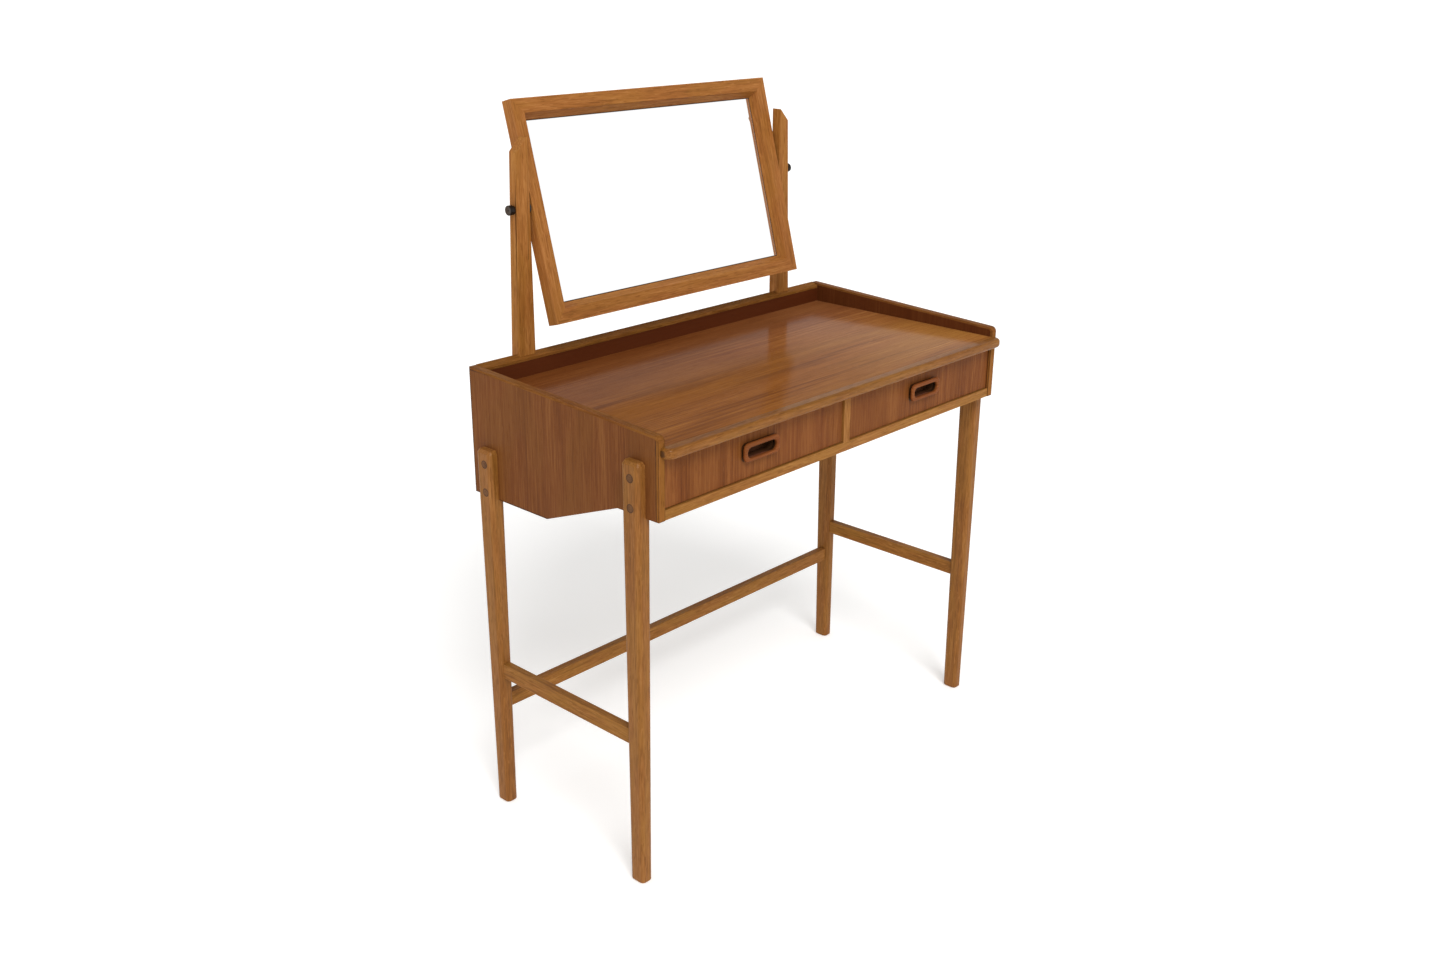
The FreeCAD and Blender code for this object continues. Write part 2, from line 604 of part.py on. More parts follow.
def side_tenon(which, clearance):
    """Tenon of the side stretcher, in the front leg (0) or the back leg (1)."""
    middle = side_stretcher_x()
    share = SIDE_STRETCHER_BOTTOM / PANEL_BOTTOM_FRONT
    width = LEG_WIDTH_FOOT + (LEG_WIDTH_TOP - LEG_WIDTH_FOOT) * share
    half = SIDE_STRETCHER_THICKNESS / 2.0 - TENON_SHOULDER + clearance
    if which == 0:
        face = FRONT_LEG_Y + width
        y0 = face - TENON_LENGTH - clearance
        y1 = face + TENON_LENGTH
    else:
        face = BACK_LEG_Y_FOOT + (BACK_LEG_Y_TOP - BACK_LEG_Y_FOOT) * share
        y0 = face - TENON_LENGTH
        y1 = face + TENON_LENGTH + clearance
    return box(middle - half, middle + half, y0, y1,
               SIDE_STRETCHER_BOTTOM + TENON_SHOULDER - clearance,
               SIDE_STRETCHER_BOTTOM + STRETCHER_HEIGHT - TENON_SHOULDER + clearance)


def side_stretcher():
    """Bar between the front and back legs on the right-hand side."""
    middle = side_stretcher_x()
    half = SIDE_STRETCHER_THICKNESS / 2.0
    bar = box(middle - half, middle + half,
              FRONT_LEG_Y + LEG_WIDTH_FOOT / 2.0, BACK_LEG_Y_FOOT + LEG_WIDTH_FOOT / 2.0,
              SIDE_STRETCHER_BOTTOM, SIDE_STRETCHER_BOTTOM + STRETCHER_HEIGHT)
    bar = bar.cut(front_leg_blank())
    bar = bar.cut(back_leg_blank())
    return bar.fuse([side_tenon(0, 0.0), side_tenon(1, 0.0)]).removeSplitter()


def back_tenon(clearance):
    """Right-hand tenon of the back stretcher."""
    share = BACK_STRETCHER_BOTTOM / PANEL_BOTTOM_FRONT
    thickness = LEG_THICKNESS_FOOT + (LEG_THICKNESS_TOP - LEG_THICKNESS_FOOT) * share
    face = LEG_OUTER - thickness
    half = BACK_STRETCHER_THICKNESS / 2.0 - TENON_SHOULDER + clearance
    return box(face - TENON_LENGTH, face + TENON_LENGTH + clearance,
               BACK_STRETCHER_Y - half, BACK_STRETCHER_Y + half,
               BACK_STRETCHER_BOTTOM + TENON_SHOULDER - clearance,
               BACK_STRETCHER_BOTTOM + STRETCHER_HEIGHT - TENON_SHOULDER + clearance)


def back_stretcher():
    """Bar between the two back legs."""
    half = BACK_STRETCHER_THICKNESS / 2.0
    end = LEG_OUTER - LEG_THICKNESS_FOOT
    bar = box(-end, end, BACK_STRETCHER_Y - half, BACK_STRETCHER_Y + half,
              BACK_STRETCHER_BOTTOM, BACK_STRETCHER_BOTTOM + STRETCHER_HEIGHT)
    bar = bar.cut(back_leg_blank())
    bar = bar.cut(mirrored(back_leg_blank()))
    tenon = back_tenon(0.0)
    return bar.fuse([tenon, mirrored(tenon)]).removeSplitter()


# ---------------------------------------------------------------- posts
def post_screw_set():
    """Screws that fix the right-hand post to the back board, from behind."""
    back_face = POST_FRONT + POST_THICKNESS
    x = POST_INNER_X + POST_WIDTH_AT_GALLERY / 2.0
    screws = []
    for rise in POST_SCREW_RISES:
        z = POST_BOTTOM + rise
        head = rod_y(back_face - SCREW_HEAD_HEIGHT, back_face, x, z, SCREW_HEAD_RADIUS)
        tip = BACK_FRONT_FACE + POST_SCREW_TIP
        shank = rod_y(tip, back_face - SCREW_HEAD_HEIGHT, x, z, SCREW_RADIUS)
        screws.append(head.fuse(shank))
    return screws


def mirror_post():
    """Right-hand post, bored for the pivot stud and its screws."""
    post = post_solid()
    for screw in post_screw_set():
        post = post.cut(screw)
    return post.cut(rod_x(POST_INNER_X, POST_INNER_X + POST_WIDTH_AT_GALLERY,
                          PIVOT_Y, PIVOT_HEIGHT, STUD_RADIUS + STUD_RUNNING_CLEARANCE))


# ---------------------------------------------------------------- mirror, drawn upright on its pivot
def tilted(shape):
    """Lean an upright piece back about the pivot and lift it into place."""
    placed = shape.copy()
    placed.rotate(FreeCAD.Vector(0, 0, 0), X_AXIS, -MIRROR_TILT)
    placed.translate(FreeCAD.Vector(0, PIVOT_Y, PIVOT_HEIGHT))
    return placed


def frame_section():
    """(distance in from the outer edge, depth behind the face) round one frame member."""
    return [(0, 0),
            (FRAME_FACE_WIDTH, 0),
            (FRAME_DEEP_WIDTH, FRAME_SPLAY_DEPTH),
            (FRAME_DEEP_WIDTH, GLASS_DEPTH),
            (FRAME_DEEP_WIDTH - REBATE_WIDTH, GLASS_DEPTH),
            (FRAME_DEEP_WIDTH - REBATE_WIDTH, FRAME_THICKNESS),
            (0, FRAME_THICKNESS)]


def mitred_rail(outer_z, inward):
    """Upper or lower frame member; inward is +1 or -1, towards the middle."""
    outline = [(depth - PIVOT_BEHIND_FRONT, outer_z + inward * across)
               for across, depth in frame_section()]
    bar = prism_x(outline, -MIRROR_HALF, MIRROR_HALF)
    reach = FRAME_DEEP_WIDTH
    trapezium = [(-MIRROR_HALF, outer_z),
                 (MIRROR_HALF, outer_z),
                 (MIRROR_HALF - reach, outer_z + inward * reach),
                 (-MIRROR_HALF + reach, outer_z + inward * reach)]
    return bar.common(prism_y(trapezium, -PIVOT_BEHIND_FRONT, FRAME_BEHIND_PIVOT))


def mirror_stile():
    """Right-hand frame member, mitred at both ends and bored for its insert."""
    corners = [(MIRROR_HALF - across, depth - PIVOT_BEHIND_FRONT)
               for across, depth in frame_section()]
    points = [FreeCAD.Vector(x, y, -MIRROR_BELOW_PIVOT) for x, y in corners]
    face = Part.Face(Part.makePolygon(points + points[:1]))
    bar = face.extrude(Z_AXIS * (MIRROR_ABOVE_PIVOT + MIRROR_BELOW_PIVOT))
    reach = FRAME_DEEP_WIDTH
    trapezium = [(MIRROR_HALF, -MIRROR_BELOW_PIVOT),
                 (MIRROR_HALF, MIRROR_ABOVE_PIVOT),
                 (MIRROR_HALF - reach, MIRROR_ABOVE_PIVOT - reach),
                 (MIRROR_HALF - reach, -MIRROR_BELOW_PIVOT + reach)]
    bar = bar.common(prism_y(trapezium, -PIVOT_BEHIND_FRONT, FRAME_BEHIND_PIVOT))
    return bar.cut(rod_x(MIRROR_HALF - INSERT_LENGTH, MIRROR_HALF, 0, 0, INSERT_RADIUS))


def rebate_board(front, thickness):
    """A sheet that fills the frame's rebate, front being its depth behind the face."""
    edge = FRAME_DEEP_WIDTH - REBATE_WIDTH + GLASS_CLEARANCE
    return box(-MIRROR_HALF + edge, MIRROR_HALF - edge,
               front - PIVOT_BEHIND_FRONT, front + thickness - PIVOT_BEHIND_FRONT,
               -MIRROR_BELOW_PIVOT + edge, MIRROR_ABOVE_PIVOT - edge)


def mirror_glass():
    """Silvered glass."""
    return rebate_board(GLASS_DEPTH, GLASS_THICKNESS)


def mirror_backing():
    """Hardboard behind the glass, flush with the back of the frame."""
    front = GLASS_DEPTH + GLASS_THICKNESS
    return rebate_board(front, BACKING_THICKNESS)


def clip_places():
    """(x, z, upright) of the clips round the back of the frame."""
    edge = FRAME_DEEP_WIDTH - REBATE_WIDTH
    middle_z = (MIRROR_ABOVE_PIVOT - MIRROR_BELOW_PIVOT) / 2.0
    places = []
    for side in (-1, 1):
        places.append((side * (MIRROR_HALF - edge), middle_z, False))
        places.append((side * MIRROR_HALF / 2.0, MIRROR_ABOVE_PIVOT - edge, True))
        places.append((side * MIRROR_HALF / 2.0, -MIRROR_BELOW_PIVOT + edge, True))
    return places


def clip_screw(x, z, upright):
    """One small screw through the outer half of a clip."""
    shift = CLIP_LENGTH / 4.0
    if upright:
        z = z + math.copysign(shift, z)
    else:
        x = x + math.copysign(shift, x)
    face = FRAME_BEHIND_PIVOT + CLIP_THICKNESS
    head = rod_y(face, face + CLIP_HEAD_HEIGHT, x, z, CLIP_HEAD_RADIUS)
    shank = rod_y(face - CLIP_SCREW_LENGTH, face, x, z, CLIP_SCREW_RADIUS)
    return head.fuse(shank)


def clip_screws():
    return Part.makeCompound([clip_screw(*place) for place in clip_places()])


def mirror_clips():
    """Small plates that hold the backing in its rebate."""
    plates = []
    for x, z, upright in clip_places():
        half_x = (CLIP_WIDTH if upright else CLIP_LENGTH) / 2.0
        half_z = (CLIP_LENGTH if upright else CLIP_WIDTH) / 2.0
        plate = box(x - half_x, x + half_x,
                    FRAME_BEHIND_PIVOT, FRAME_BEHIND_PIVOT + CLIP_THICKNESS,
                    z - half_z, z + half_z)
        plates.append(plate.cut(clip_screw(x, z, upright)))
    return Part.makeCompound(plates)


def bored_for_clips(member):
    """Drill a frame member for the clip screws."""
    for place in clip_places():
        member = member.cut(clip_screw(*place))
    return member


# ---------------------------------------------------------------- pivot hardware, right-hand side
def friction_washer():
    """Washer between the frame and the post, fixed to the frame."""
    disc = rod_x(MIRROR_HALF, MIRROR_HALF + WASHER_THICKNESS, 0, 0, WASHER_RADIUS)
    return disc.cut(rod_x(MIRROR_HALF, MIRROR_HALF + WASHER_THICKNESS, 0, 0,
                          STUD_RADIUS + WASHER_BORE_CLEARANCE))


def threaded_insert():
    """Metal bush in the frame that takes the knob's stud."""
    bush = rod_x(MIRROR_HALF - INSERT_LENGTH, MIRROR_HALF, 0, 0, INSERT_RADIUS)
    return bush.cut(rod_x(MIRROR_HALF - INSERT_LENGTH, MIRROR_HALF, 0, 0,
                          STUD_RADIUS + STUD_RUNNING_CLEARANCE))


def knob_seat():
    """Where the knob's inner face stands, just clear of the post."""
    outer = POST_INNER_X + POST_WIDTH_AT_GALLERY
    return outer - (PIVOT_HEIGHT - GALLERY_BACK_TOP) * POST_TAPER + KNOB_STANDOFF


def knob_stud():
    """Steel stud from inside the knob to the insert."""
    return rod_x(MIRROR_HALF - INSERT_LENGTH + STUD_END_GAP,
                 knob_seat() + KNOB_LENGTH - STUD_COVER, 0, 0, STUD_RADIUS)


def knob():
    """Round clamping knob on a short neck."""
    seat = knob_seat()
    shoulder = seat + KNOB_NECK_LENGTH
    cap = rod_x(shoulder, seat + KNOB_LENGTH, 0, 0, KNOB_RADIUS)
    cap = cap.makeFillet(KNOB_EDGE_RADIUS, [edge for edge in cap.Edges if edge.Closed])
    neck = rod_x(seat, shoulder + 1.0, 0, 0, KNOB_NECK_RADIUS)
    return cap.fuse(neck).removeSplitter().cut(knob_stud())


# ---------------------------------------------------------------- the object
def all_pieces():
    """Every piece by name, in the drawing's own Y."""
    pieces = {}

    def pair(name, shape):
        pieces[name + "_right"] = shape
        pieces[name + "_left"] = mirrored(shape)

    pair("side_panel", side_panel())
    pair("edge_lipping", edge_lipping())
    pieces["table_top"] = table_top()
    pieces["front_lip"] = front_lip()
    pieces["back_panel"] = back_panel()
    pieces["gallery_lipping"] = gallery_lipping()
    pieces["bottom_rail"] = bottom_rail()
    pieces["dust_board"] = dust_board()
    pieces["drawer_divider"] = drawer_divider()
    pieces["centre_partition"] = centre_partition()
    pair("drawer_runners", drawer_runners())
    pieces["drawer_stops"] = drawer_stops()

    pair("drawer_front", drawer_front())
    pair("drawer_side_outer", drawer_side_outer())
    pair("drawer_side_inner", drawer_side_inner())
    pair("drawer_back", drawer_back())
    pair("drawer_bottom", drawer_bottom())
    pair("drawer_handle", drawer_handle())

    pair("leg_front", front_leg())
    pair("leg_back", back_leg())
    pieces["leg_plugs"] = both_sides(Part.makeCompound(leg_plug_set()))
    pieces["leg_screws"] = both_sides(Part.makeCompound(leg_screw_set()))
    pair("side_stretcher", side_stretcher())
    pieces["back_stretcher"] = back_stretcher()

    pair("mirror_post", mirror_post())
    pieces["post_screws"] = both_sides(Part.makeCompound(post_screw_set()))
    pieces["mirror_rail_top"] = tilted(bored_for_clips(mitred_rail(MIRROR_ABOVE_PIVOT, -1)))
    pieces["mirror_rail_bottom"] = tilted(bored_for_clips(mitred_rail(-MIRROR_BELOW_PIVOT, 1)))
    pair("mirror_stile", tilted(bored_for_clips(mirror_stile())))
    pieces["mirror_glass"] = tilted(mirror_glass())
    pieces["mirror_backing"] = tilted(mirror_backing())
    pieces["mirror_clips"] = tilted(mirror_clips())
    pieces["clip_screws"] = tilted(clip_screws())
    pair("friction_washer", tilted(friction_washer()))
    pair("threaded_insert", tilted(threaded_insert()))
    pair("knob_stud", tilted(knob_stud()))
    pair("knob", tilted(knob()))
    return pieces


os.makedirs("parts", exist_ok=True)
for node, shape in all_pieces().items():
    move_to_origin(shape).exportStep("parts/" + node + ".step")
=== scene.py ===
"""Finishes a vanity table with a tilting mirror and sets it on a pale studio floor.

The case, legs and mirror frame keep their own meshes and get their timber, arrises and metal
here.  Handles and knobs are surfaces worked out from a few sizes.  Lengths are in metres, +X
runs to the sitter's right, +Y to the back and +Z up.
"""
import math

import bpy
import numpy as np
from bpy.props import FloatProperty, FloatVectorProperty, IntProperty, PointerProperty
from mathutils import Euler, Matrix, Vector


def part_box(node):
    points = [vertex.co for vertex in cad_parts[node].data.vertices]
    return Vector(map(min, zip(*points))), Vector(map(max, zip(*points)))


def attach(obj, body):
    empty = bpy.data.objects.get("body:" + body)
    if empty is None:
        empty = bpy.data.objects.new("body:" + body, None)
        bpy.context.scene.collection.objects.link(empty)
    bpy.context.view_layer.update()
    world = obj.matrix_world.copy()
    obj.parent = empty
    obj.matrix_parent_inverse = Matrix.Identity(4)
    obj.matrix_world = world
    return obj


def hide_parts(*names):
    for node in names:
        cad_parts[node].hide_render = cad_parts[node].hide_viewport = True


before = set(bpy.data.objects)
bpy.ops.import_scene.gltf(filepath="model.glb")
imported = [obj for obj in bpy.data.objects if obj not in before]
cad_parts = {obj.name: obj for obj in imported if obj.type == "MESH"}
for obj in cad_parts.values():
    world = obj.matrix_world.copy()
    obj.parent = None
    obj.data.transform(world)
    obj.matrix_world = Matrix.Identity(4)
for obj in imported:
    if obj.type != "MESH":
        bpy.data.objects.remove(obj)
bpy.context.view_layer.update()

bl_info = {
    "name": "Vanity table",
    "version": (1, 0, 0),
    "blender": (4, 5, 0),
    "location": "View3D > Sidebar > Vanity table",
    "description": "Timber, mirror, handles, knobs and studio of a vanity table",
    "category": "Object",
}

SIDES = ("left", "right")
ALONG_X = (0.0, 0.0, 0.0)
ALONG_Y = (0.0, 0.0, -math.pi / 2)
ALONG_Z = (0.0, math.pi / 2, 0.0)


def corners(*nodes):
    """All vertices of some nodes, as rows of x, y, z."""
    rows = []
    for node in nodes:
        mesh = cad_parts[node].data
        flat = np.empty(len(mesh.vertices) * 3, np.float32)
        mesh.vertices.foreach_get("co", flat)
        rows.append(flat.reshape(-1, 3))
    return np.concatenate(rows)


def glass_lean():
    """Angle by which the mirror leans back: the slope of the longer axis of the glass's end."""
    end = corners("mirror_glass")[:, 1:]
    axis = np.linalg.svd(end - end.mean(axis=0))[2][0]
    return float(math.atan2(axis[0], axis[1]) if axis[1] > 0 else math.atan2(-axis[0], -axis[1]))


# ---------------------------------------------------------------- sizes and colours
def colour(name, description, default):
    return FloatVectorProperty(name=name, description=description, subtype="COLOR", size=3,
                               min=0.0, max=1.0, default=default)


def gain(name, description, default):
    return FloatVectorProperty(name=name, description=description, default=default, size=3,
                               min=0.0, max=8.0)


def length(name, description, default, high=1.0):
    return FloatProperty(name=name, description=description, unit="LENGTH", subtype="DISTANCE",
                         min=0.0, max=high, precision=5, default=default)


def angle(name, description, degrees):
    return FloatProperty(name=name, description=description, subtype="ANGLE",
                         default=math.radians(degrees))


def strength(name, description, default):
    return FloatProperty(name=name, description=description, min=0.0, default=default)


TONES = ("dark", "middle", "light", "golden")
# box is the wood of the drawer boxes, and board is hardboard
WOOD_TONES = {
    "teak": ((0.095, 0.028, 0.007), (0.153, 0.048, 0.0115), (0.215, 0.080, 0.021),
             (0.160, 0.060, 0.0125)),
    "oak": ((0.165, 0.062, 0.012), (0.270, 0.106, 0.022), (0.370, 0.168, 0.045),
            (0.280, 0.128, 0.021)),
    "box": ((0.310, 0.185, 0.090), (0.470, 0.300, 0.155), (0.580, 0.400, 0.225),
            (0.480, 0.320, 0.140)),
    "board": ((0.110, 0.062, 0.030), (0.190, 0.108, 0.052), (0.260, 0.155, 0.080),
              (0.200, 0.120, 0.050)),
    "plug": ((0.045, 0.020, 0.009), (0.140, 0.060, 0.026), (0.210, 0.100, 0.044),
             (0.150, 0.070, 0.026)),
}


class TimberSizes(bpy.types.PropertyGroup):
    # patina of faces that were never sunned, deepened to paint the shade in the gallery's corners
    patina: colour("Patina", "Red-brown of surfaces that were never sunned", (0.080, 0.016, 0.004))
    # gain by which teak turns paler towards +X
    faded: gain("Faded", "How many times paler the sun makes teak", (1.66, 2.05, 2.90))
    # gain of a painted light: teak paler towards the front, in place of shade and dark reflections
    # further back
    worn: gain("Worn", "How many times paler polish and hands make teak", (1.76, 2.16, 1.45))
    # painted shade inside the finger holes
    hollow: colour("Hollow", "Unlit wood inside the finger holes", (0.300, 0.100, 0.052))
    # colour of glue lines, and also of painted shade at the handles, the lip's ends and the
    # glass's rebate
    glue: colour("Glue line", "Dark line where two boards are glued", (0.045, 0.018, 0.007))
    leg_arris: length("Leg arris", "Rounding of the legs' edges", 0.0022, 0.01)
    arris: length("Arris", "Rounding of free edges", 0.0009, 0.01)
    fine_arris: length("Fine arris", "Rounding where two boards are glued flush", 0.00022, 0.01)
    leaf_width: length("Leaf width", "Width of one leaf of teak veneer", 0.118)


TimberSizes.__annotations__.update({
    wood + "_" + tone: colour(wood.title() + ", " + tone, tone.title() + " tone of " + wood, value)
    for wood, values in WOOD_TONES.items() for tone, value in zip(TONES, values)})


class HandleSizes(bpy.types.PropertyGroup):
    rim: length("Rim", "From the handle's edge to the finger hole", 0.0073, 0.03)
    undercut: length("Undercut", "How far the neck stands in from the plate", 0.0038, 0.01)
    plate: length("Plate", "Thickness of the visible ring", 0.0040, 0.01)
    outer_radius: length("Outer rounding", "Rounding of the ring's outer edge", 0.0021, 0.01)
    inner_radius: length("Inner rounding", "Rounding round the finger hole", 0.0017, 0.01)
    corner_radius: length("Corner radius", "Radius of the handle's corners", 0.009, 0.03)
    plate_rounding: length("Plate rounding", "Rounding at the back of the plate", 0.0006, 0.003)
    bottom_trim: length("Bottom trim", "How much thinner the ring is at its foot", 0.0018, 0.005)
    steps: IntProperty(name="Steps", description="Points along each quarter", min=4, max=64,
                       default=18)


class KnobSizes(bpy.types.PropertyGroup):
    neck_radius: length("Neck radius", "Radius of the neck beside the post", 0.0068, 0.02)
    seat_rounding: length("Seat rounding", "Rounding where the neck meets the post", 0.0004, 0.002)
    neck_length: length("Neck length", "Length of the neck", 0.0026, 0.02)
    rim_radius: length("Rim rounding", "Rounding of the knob's rim", 0.0010, 0.01)
    dish_depth: length("Dish depth", "Depth of the hollow in the face", 0.0006, 0.01)
    dish_radius: length("Dish radius", "Radius of the hollow in the face", 0.0062, 0.02)
    dimple_radius: length("Dimple radius", "Radius of the mark in the middle", 0.0016, 0.01)
    dimple_depth: length("Dimple depth", "Depth of the mark in the middle", 0.0008, 0.01)
    rim_trim: length("Rim trim", "How far the rim stands inside the designed knob", 0.0007, 0.003)
    colour: colour("Colour", "Moulded colour of the knobs", (0.0095, 0.0052, 0.0034))
    # paler colour of the outer face, a painted highlight; also the colour of scratches and bloom
    rubbed: colour("Rubbed colour", "Colour of the rubbed outer face", (0.062, 0.041, 0.028))
    steps: IntProperty(name="Steps", description="Points round the knob", min=12, max=256,
                       default=72)


class StageSizes(bpy.types.PropertyGroup):
    floor_colour: colour("Floor colour", "Colour of the studio floor", (0.90, 0.90, 0.90))
    floor_radius: length("Floor radius", "Radius of the studio floor", 45.0, 90.0)
    sky: strength("Sky", "Strength of the white surroundings", 1.04)
    ceiling: strength("Ceiling", "Strength of the ceiling's light", 0.5)
    screen_top: angle("Screen top", "Height of the white screen", 16.0)
    ceiling_from: angle("Ceiling from", "Height where the ceiling starts", 30.0)
    floor_glow: strength("Floor glow", "Light that the floor gives out", 0.33)
    key_power: strength("Key light", "Strength of the soft key light", 1.8)
    key_width: angle("Key light width", "Angle the key light fills", 24.0)
    key_from: FloatVectorProperty(name="Key light side", description="Where the key light stands",
                                  subtype="DIRECTION", size=3, default=(-0.45, -0.80, 1.0))
    camera_place: FloatVectorProperty(name="Camera place", description="Where the camera stands",
                                      subtype="TRANSLATION", unit="LENGTH", size=3,
                                      default=(-1.7040, -1.5175, 1.3594))
    camera_turn: angle("Camera turn", "Turn from +Y about +Z", -47.491)
    camera_drop: angle("Camera drop", "Angle it looks down", 20.656)
    camera_roll: angle("Camera roll", "Turn about its own axis", 0.494)
    camera_lens: FloatProperty(name="Lens", description="Focal length on a 36 mm sensor",
                               unit="CAMERA", min=1.0, default=35.02)


# ---------------------------------------------------------------- shader formulas
# pairs are where a change starts and where it ends; lengths in metres
CRISP = 0.0001                      # half the width of a crisp change of colour
SOFT = 0.002                        # half the width of a soft one
LEAF_JOINT = (0.0002, 0.0014)       # from a leaf's edge, its dark joint
END_GRIME = (0.0002, 0.0015)        # from a piece's end, painted crevice shade
NEVER_SUNNED = (0.002, 0.001)       # under a face, patina with painted shade
PLUG_RIM = (0.62, 0.95)             # share of a plug's radius, its dark rim
PLATE_FOOT = (-0.0022, -0.0002)     # beyond the outline of a handle's plate, painted shadow
RUBBED_FROM = 0.0003                # from an arris, full wear
NECK_SHADE = 0.001                  # behind a handle's plate, painted shade
HOLE_RIM = 0.0005                   # beyond a finger hole, the end of its painted shade
HOLE_SHADE = 0.003                  # into a finger hole, its painted shade
GLASS_SEAM = (0.0011, 0.0019)       # from the frame's edge, the end of the glass's painted shadow line
DISH_RIM = (-0.0004, 0.0010)        # beyond a knob's dish, the end of its painted highlight
FACE_ONLY = (0.0022, 0.0014)        # under a knob's outer face, its painted highlight
SEED_STEP = (1.37, 0.71, 0.53)      # shift of the pattern from one seed to the next

# shares of a noise where a mark starts and where it is full
FIGURED = (0.36, 0.62)
TO_MIDDLE = (0.05, 0.55)
TO_LIGHT = (0.45, 0.95)
GOLDEN = (0.40, 0.62)
FLECKED = (0.64, 0.72)
SCRATCHED = (0.80, 0.84)
PORE_RISE = 0.09


class Shade:
    """A shader number.  Arithmetic on it adds Math nodes, so a pattern reads as a formula."""

    def __init__(self, finish, socket):
        self.finish = finish
        self.socket = socket

    def __add__(self, other):
        return self.finish.maths("ADD", self, other)

    __radd__ = __add__

    def __sub__(self, other):
        return self.finish.maths("SUBTRACT", self, other)

    def __rsub__(self, other):
        return self.finish.maths("SUBTRACT", other, self)

    def __mul__(self, other):
        return self.finish.maths("MULTIPLY", self, other)

    __rmul__ = __mul__

    def __truediv__(self, other):
        return self.finish.maths("DIVIDE", self, other)

    def __pow__(self, other):
        return self.finish.maths("POWER", self, other)

    def __abs__(self):
        return self.finish.maths("ABSOLUTE", self)


class Finish:
    """A material, or the world, being put together from nodes."""

    def __init__(self, name, store="materials", shader="Principled BSDF"):
        self.holder = getattr(bpy.data, store).new(name)
        self.holder.use_nodes = True
        self.tree = self.holder.node_tree
        self.shader = self.tree.nodes[shader]

    def add(self, kind, settings=None, inputs=None):
        """Adds one node: its settings first, then the values or links of its sockets."""
        node = self.tree.nodes.new(kind)
        for key, value in (settings or {}).items():
            setattr(node, key, value)
        for key, value in (inputs or {}).items():
            self.feed(node.inputs[key], value)
        return node

    def feed(self, socket, value):
        """Links a socket, or sets its value."""
        if isinstance(value, Shade):
            value = value.socket
        if isinstance(value, bpy.types.NodeSocket):
            self.tree.links.new(value, socket)
        else:
            socket.default_value = value

    def here(self):
        """Where the surface is, in object coordinates."""
        return self.add("ShaderNodeTexCoord").outputs["Object"]

    def parts(self, place):
        """The three coordinates of a place, as numbers."""
        split = self.add("ShaderNodeSeparateXYZ", {}, {0: place})
        return [Shade(self, socket) for socket in split.outputs]

    def maths(self, operation, *values):
        node = self.add("ShaderNodeMath", {"operation": operation}, dict(enumerate(values)))
        return Shade(self, node.outputs[0])

    def least(self, one, other):
        return self.maths("MINIMUM", one, other)

    def most(self, one, other):
        return self.maths("MAXIMUM", one, other)

    def step(self, value, low, high):
        """0 up to low, 1 from high, and a smooth rise between."""
        node = self.add("ShaderNodeMapRange", {"interpolation_type": "SMOOTHSTEP"},
                        {"Value": value, "From Min": low, "From Max": high})
        return Shade(self, node.outputs[0])

    def vectors(self, operation, one, other):
        node = self.add("ShaderNodeVectorMath", {"operation": operation}, {0: one, 1: other})
        return node.outputs[0]

    def noise(self, place, stretch, detail=2.0, roughness=0.5):
        """Noise with stretch cells to the metre along each axis."""
        where = self.vectors("MULTIPLY", place, stretch)
        node = self.add("ShaderNodeTexNoise", {},
                        {"Vector": where, "Scale": 1.0, "Detail": detail, "Roughness": roughness})
        return Shade(self, node.outputs["Fac"])

    def blend(self, share, one, other, way="MIX"):
        """Colour one turning into colour other as share goes from 0 to 1."""
        node = self.add("ShaderNodeMix", {"data_type": "RGBA", "blend_type": way},
                        {0: share, 6: one, 7: other})
        return node.outputs[2]

    def turned_front(self, place, nodes, depth):
        """Turns the grain upright in the strip that stands at the very front of a piece.

        place has the grain along its first axis and height along its third; in the strip these
        two change places.
        """
        rows = corners(*nodes)
        front = float(rows[:, 1].min()) + depth
        top = float(rows[rows[:, 1] < front][:, 2].max()) - depth
        _, deep, up = self.parts(self.here())
        strip = ((1 - self.step(deep, front - CRISP, front + CRISP))
                 * (1 - self.step(up, top - SOFT, top + SOFT)))
        along, across, high = self.parts(place)
        upright = self.add("ShaderNodeCombineXYZ", {}, {0: high, 1: across, 2: along})
        node = self.add("ShaderNodeMix", {"data_type": "VECTOR"},
                        {0: strip, 4: place, 5: upright.outputs[0]})
        return node.outputs[1], strip

    def bump(self, height, strength, distance):
        node = self.add("ShaderNodeBump", {},
                        {"Height": height, "Strength": strength, "Distance": distance})
        return node.outputs["Normal"]

    def wear(self, **inputs):
        """Feeds the main shader; underscores stand for spaces in a socket's name."""
        for key, value in inputs.items():
            self.feed(self.shader.inputs[key.replace("_", " ")], value)
        return self.holder


def opaque(values):
    return (values[0], values[1], values[2], 1.0)


def laid_out(finish, nodes, turn):
    """Coordinates centred on a piece with X along its grain, and half its size along each.

    They are object coordinates turned by a Mapping node, so the pattern is fixed to the piece.
    """
    matrix = Euler(turn, "XYZ").to_matrix()
    turned = corners(*nodes) @ np.array(matrix).T
    low = turned.min(axis=0)
    high = turned.max(axis=0)
    centred = finish.add("ShaderNodeMapping", {"vector_type": "POINT"},
                         {"Vector": finish.here(), "Rotation": turn,
                          "Location": tuple(-(low + high) / 2)})
    return centred.outputs[0], (high - low) / 2


def edge_distance(finish, place, half):
    """Distance to the nearest long edge of the piece's box, for a point on its surface.

    Of the three distances to the pairs of faces, the least is nought on the surface, and the
    middle one is the distance to the edge: max(min(a, b), min(max(a, b), c)).
    """
    a, b, c = [float(reach) - abs(part) for reach, part in zip(half, finish.parts(place))]
    return finish.most(finish.least(a, b), finish.least(finish.most(a, b), c))


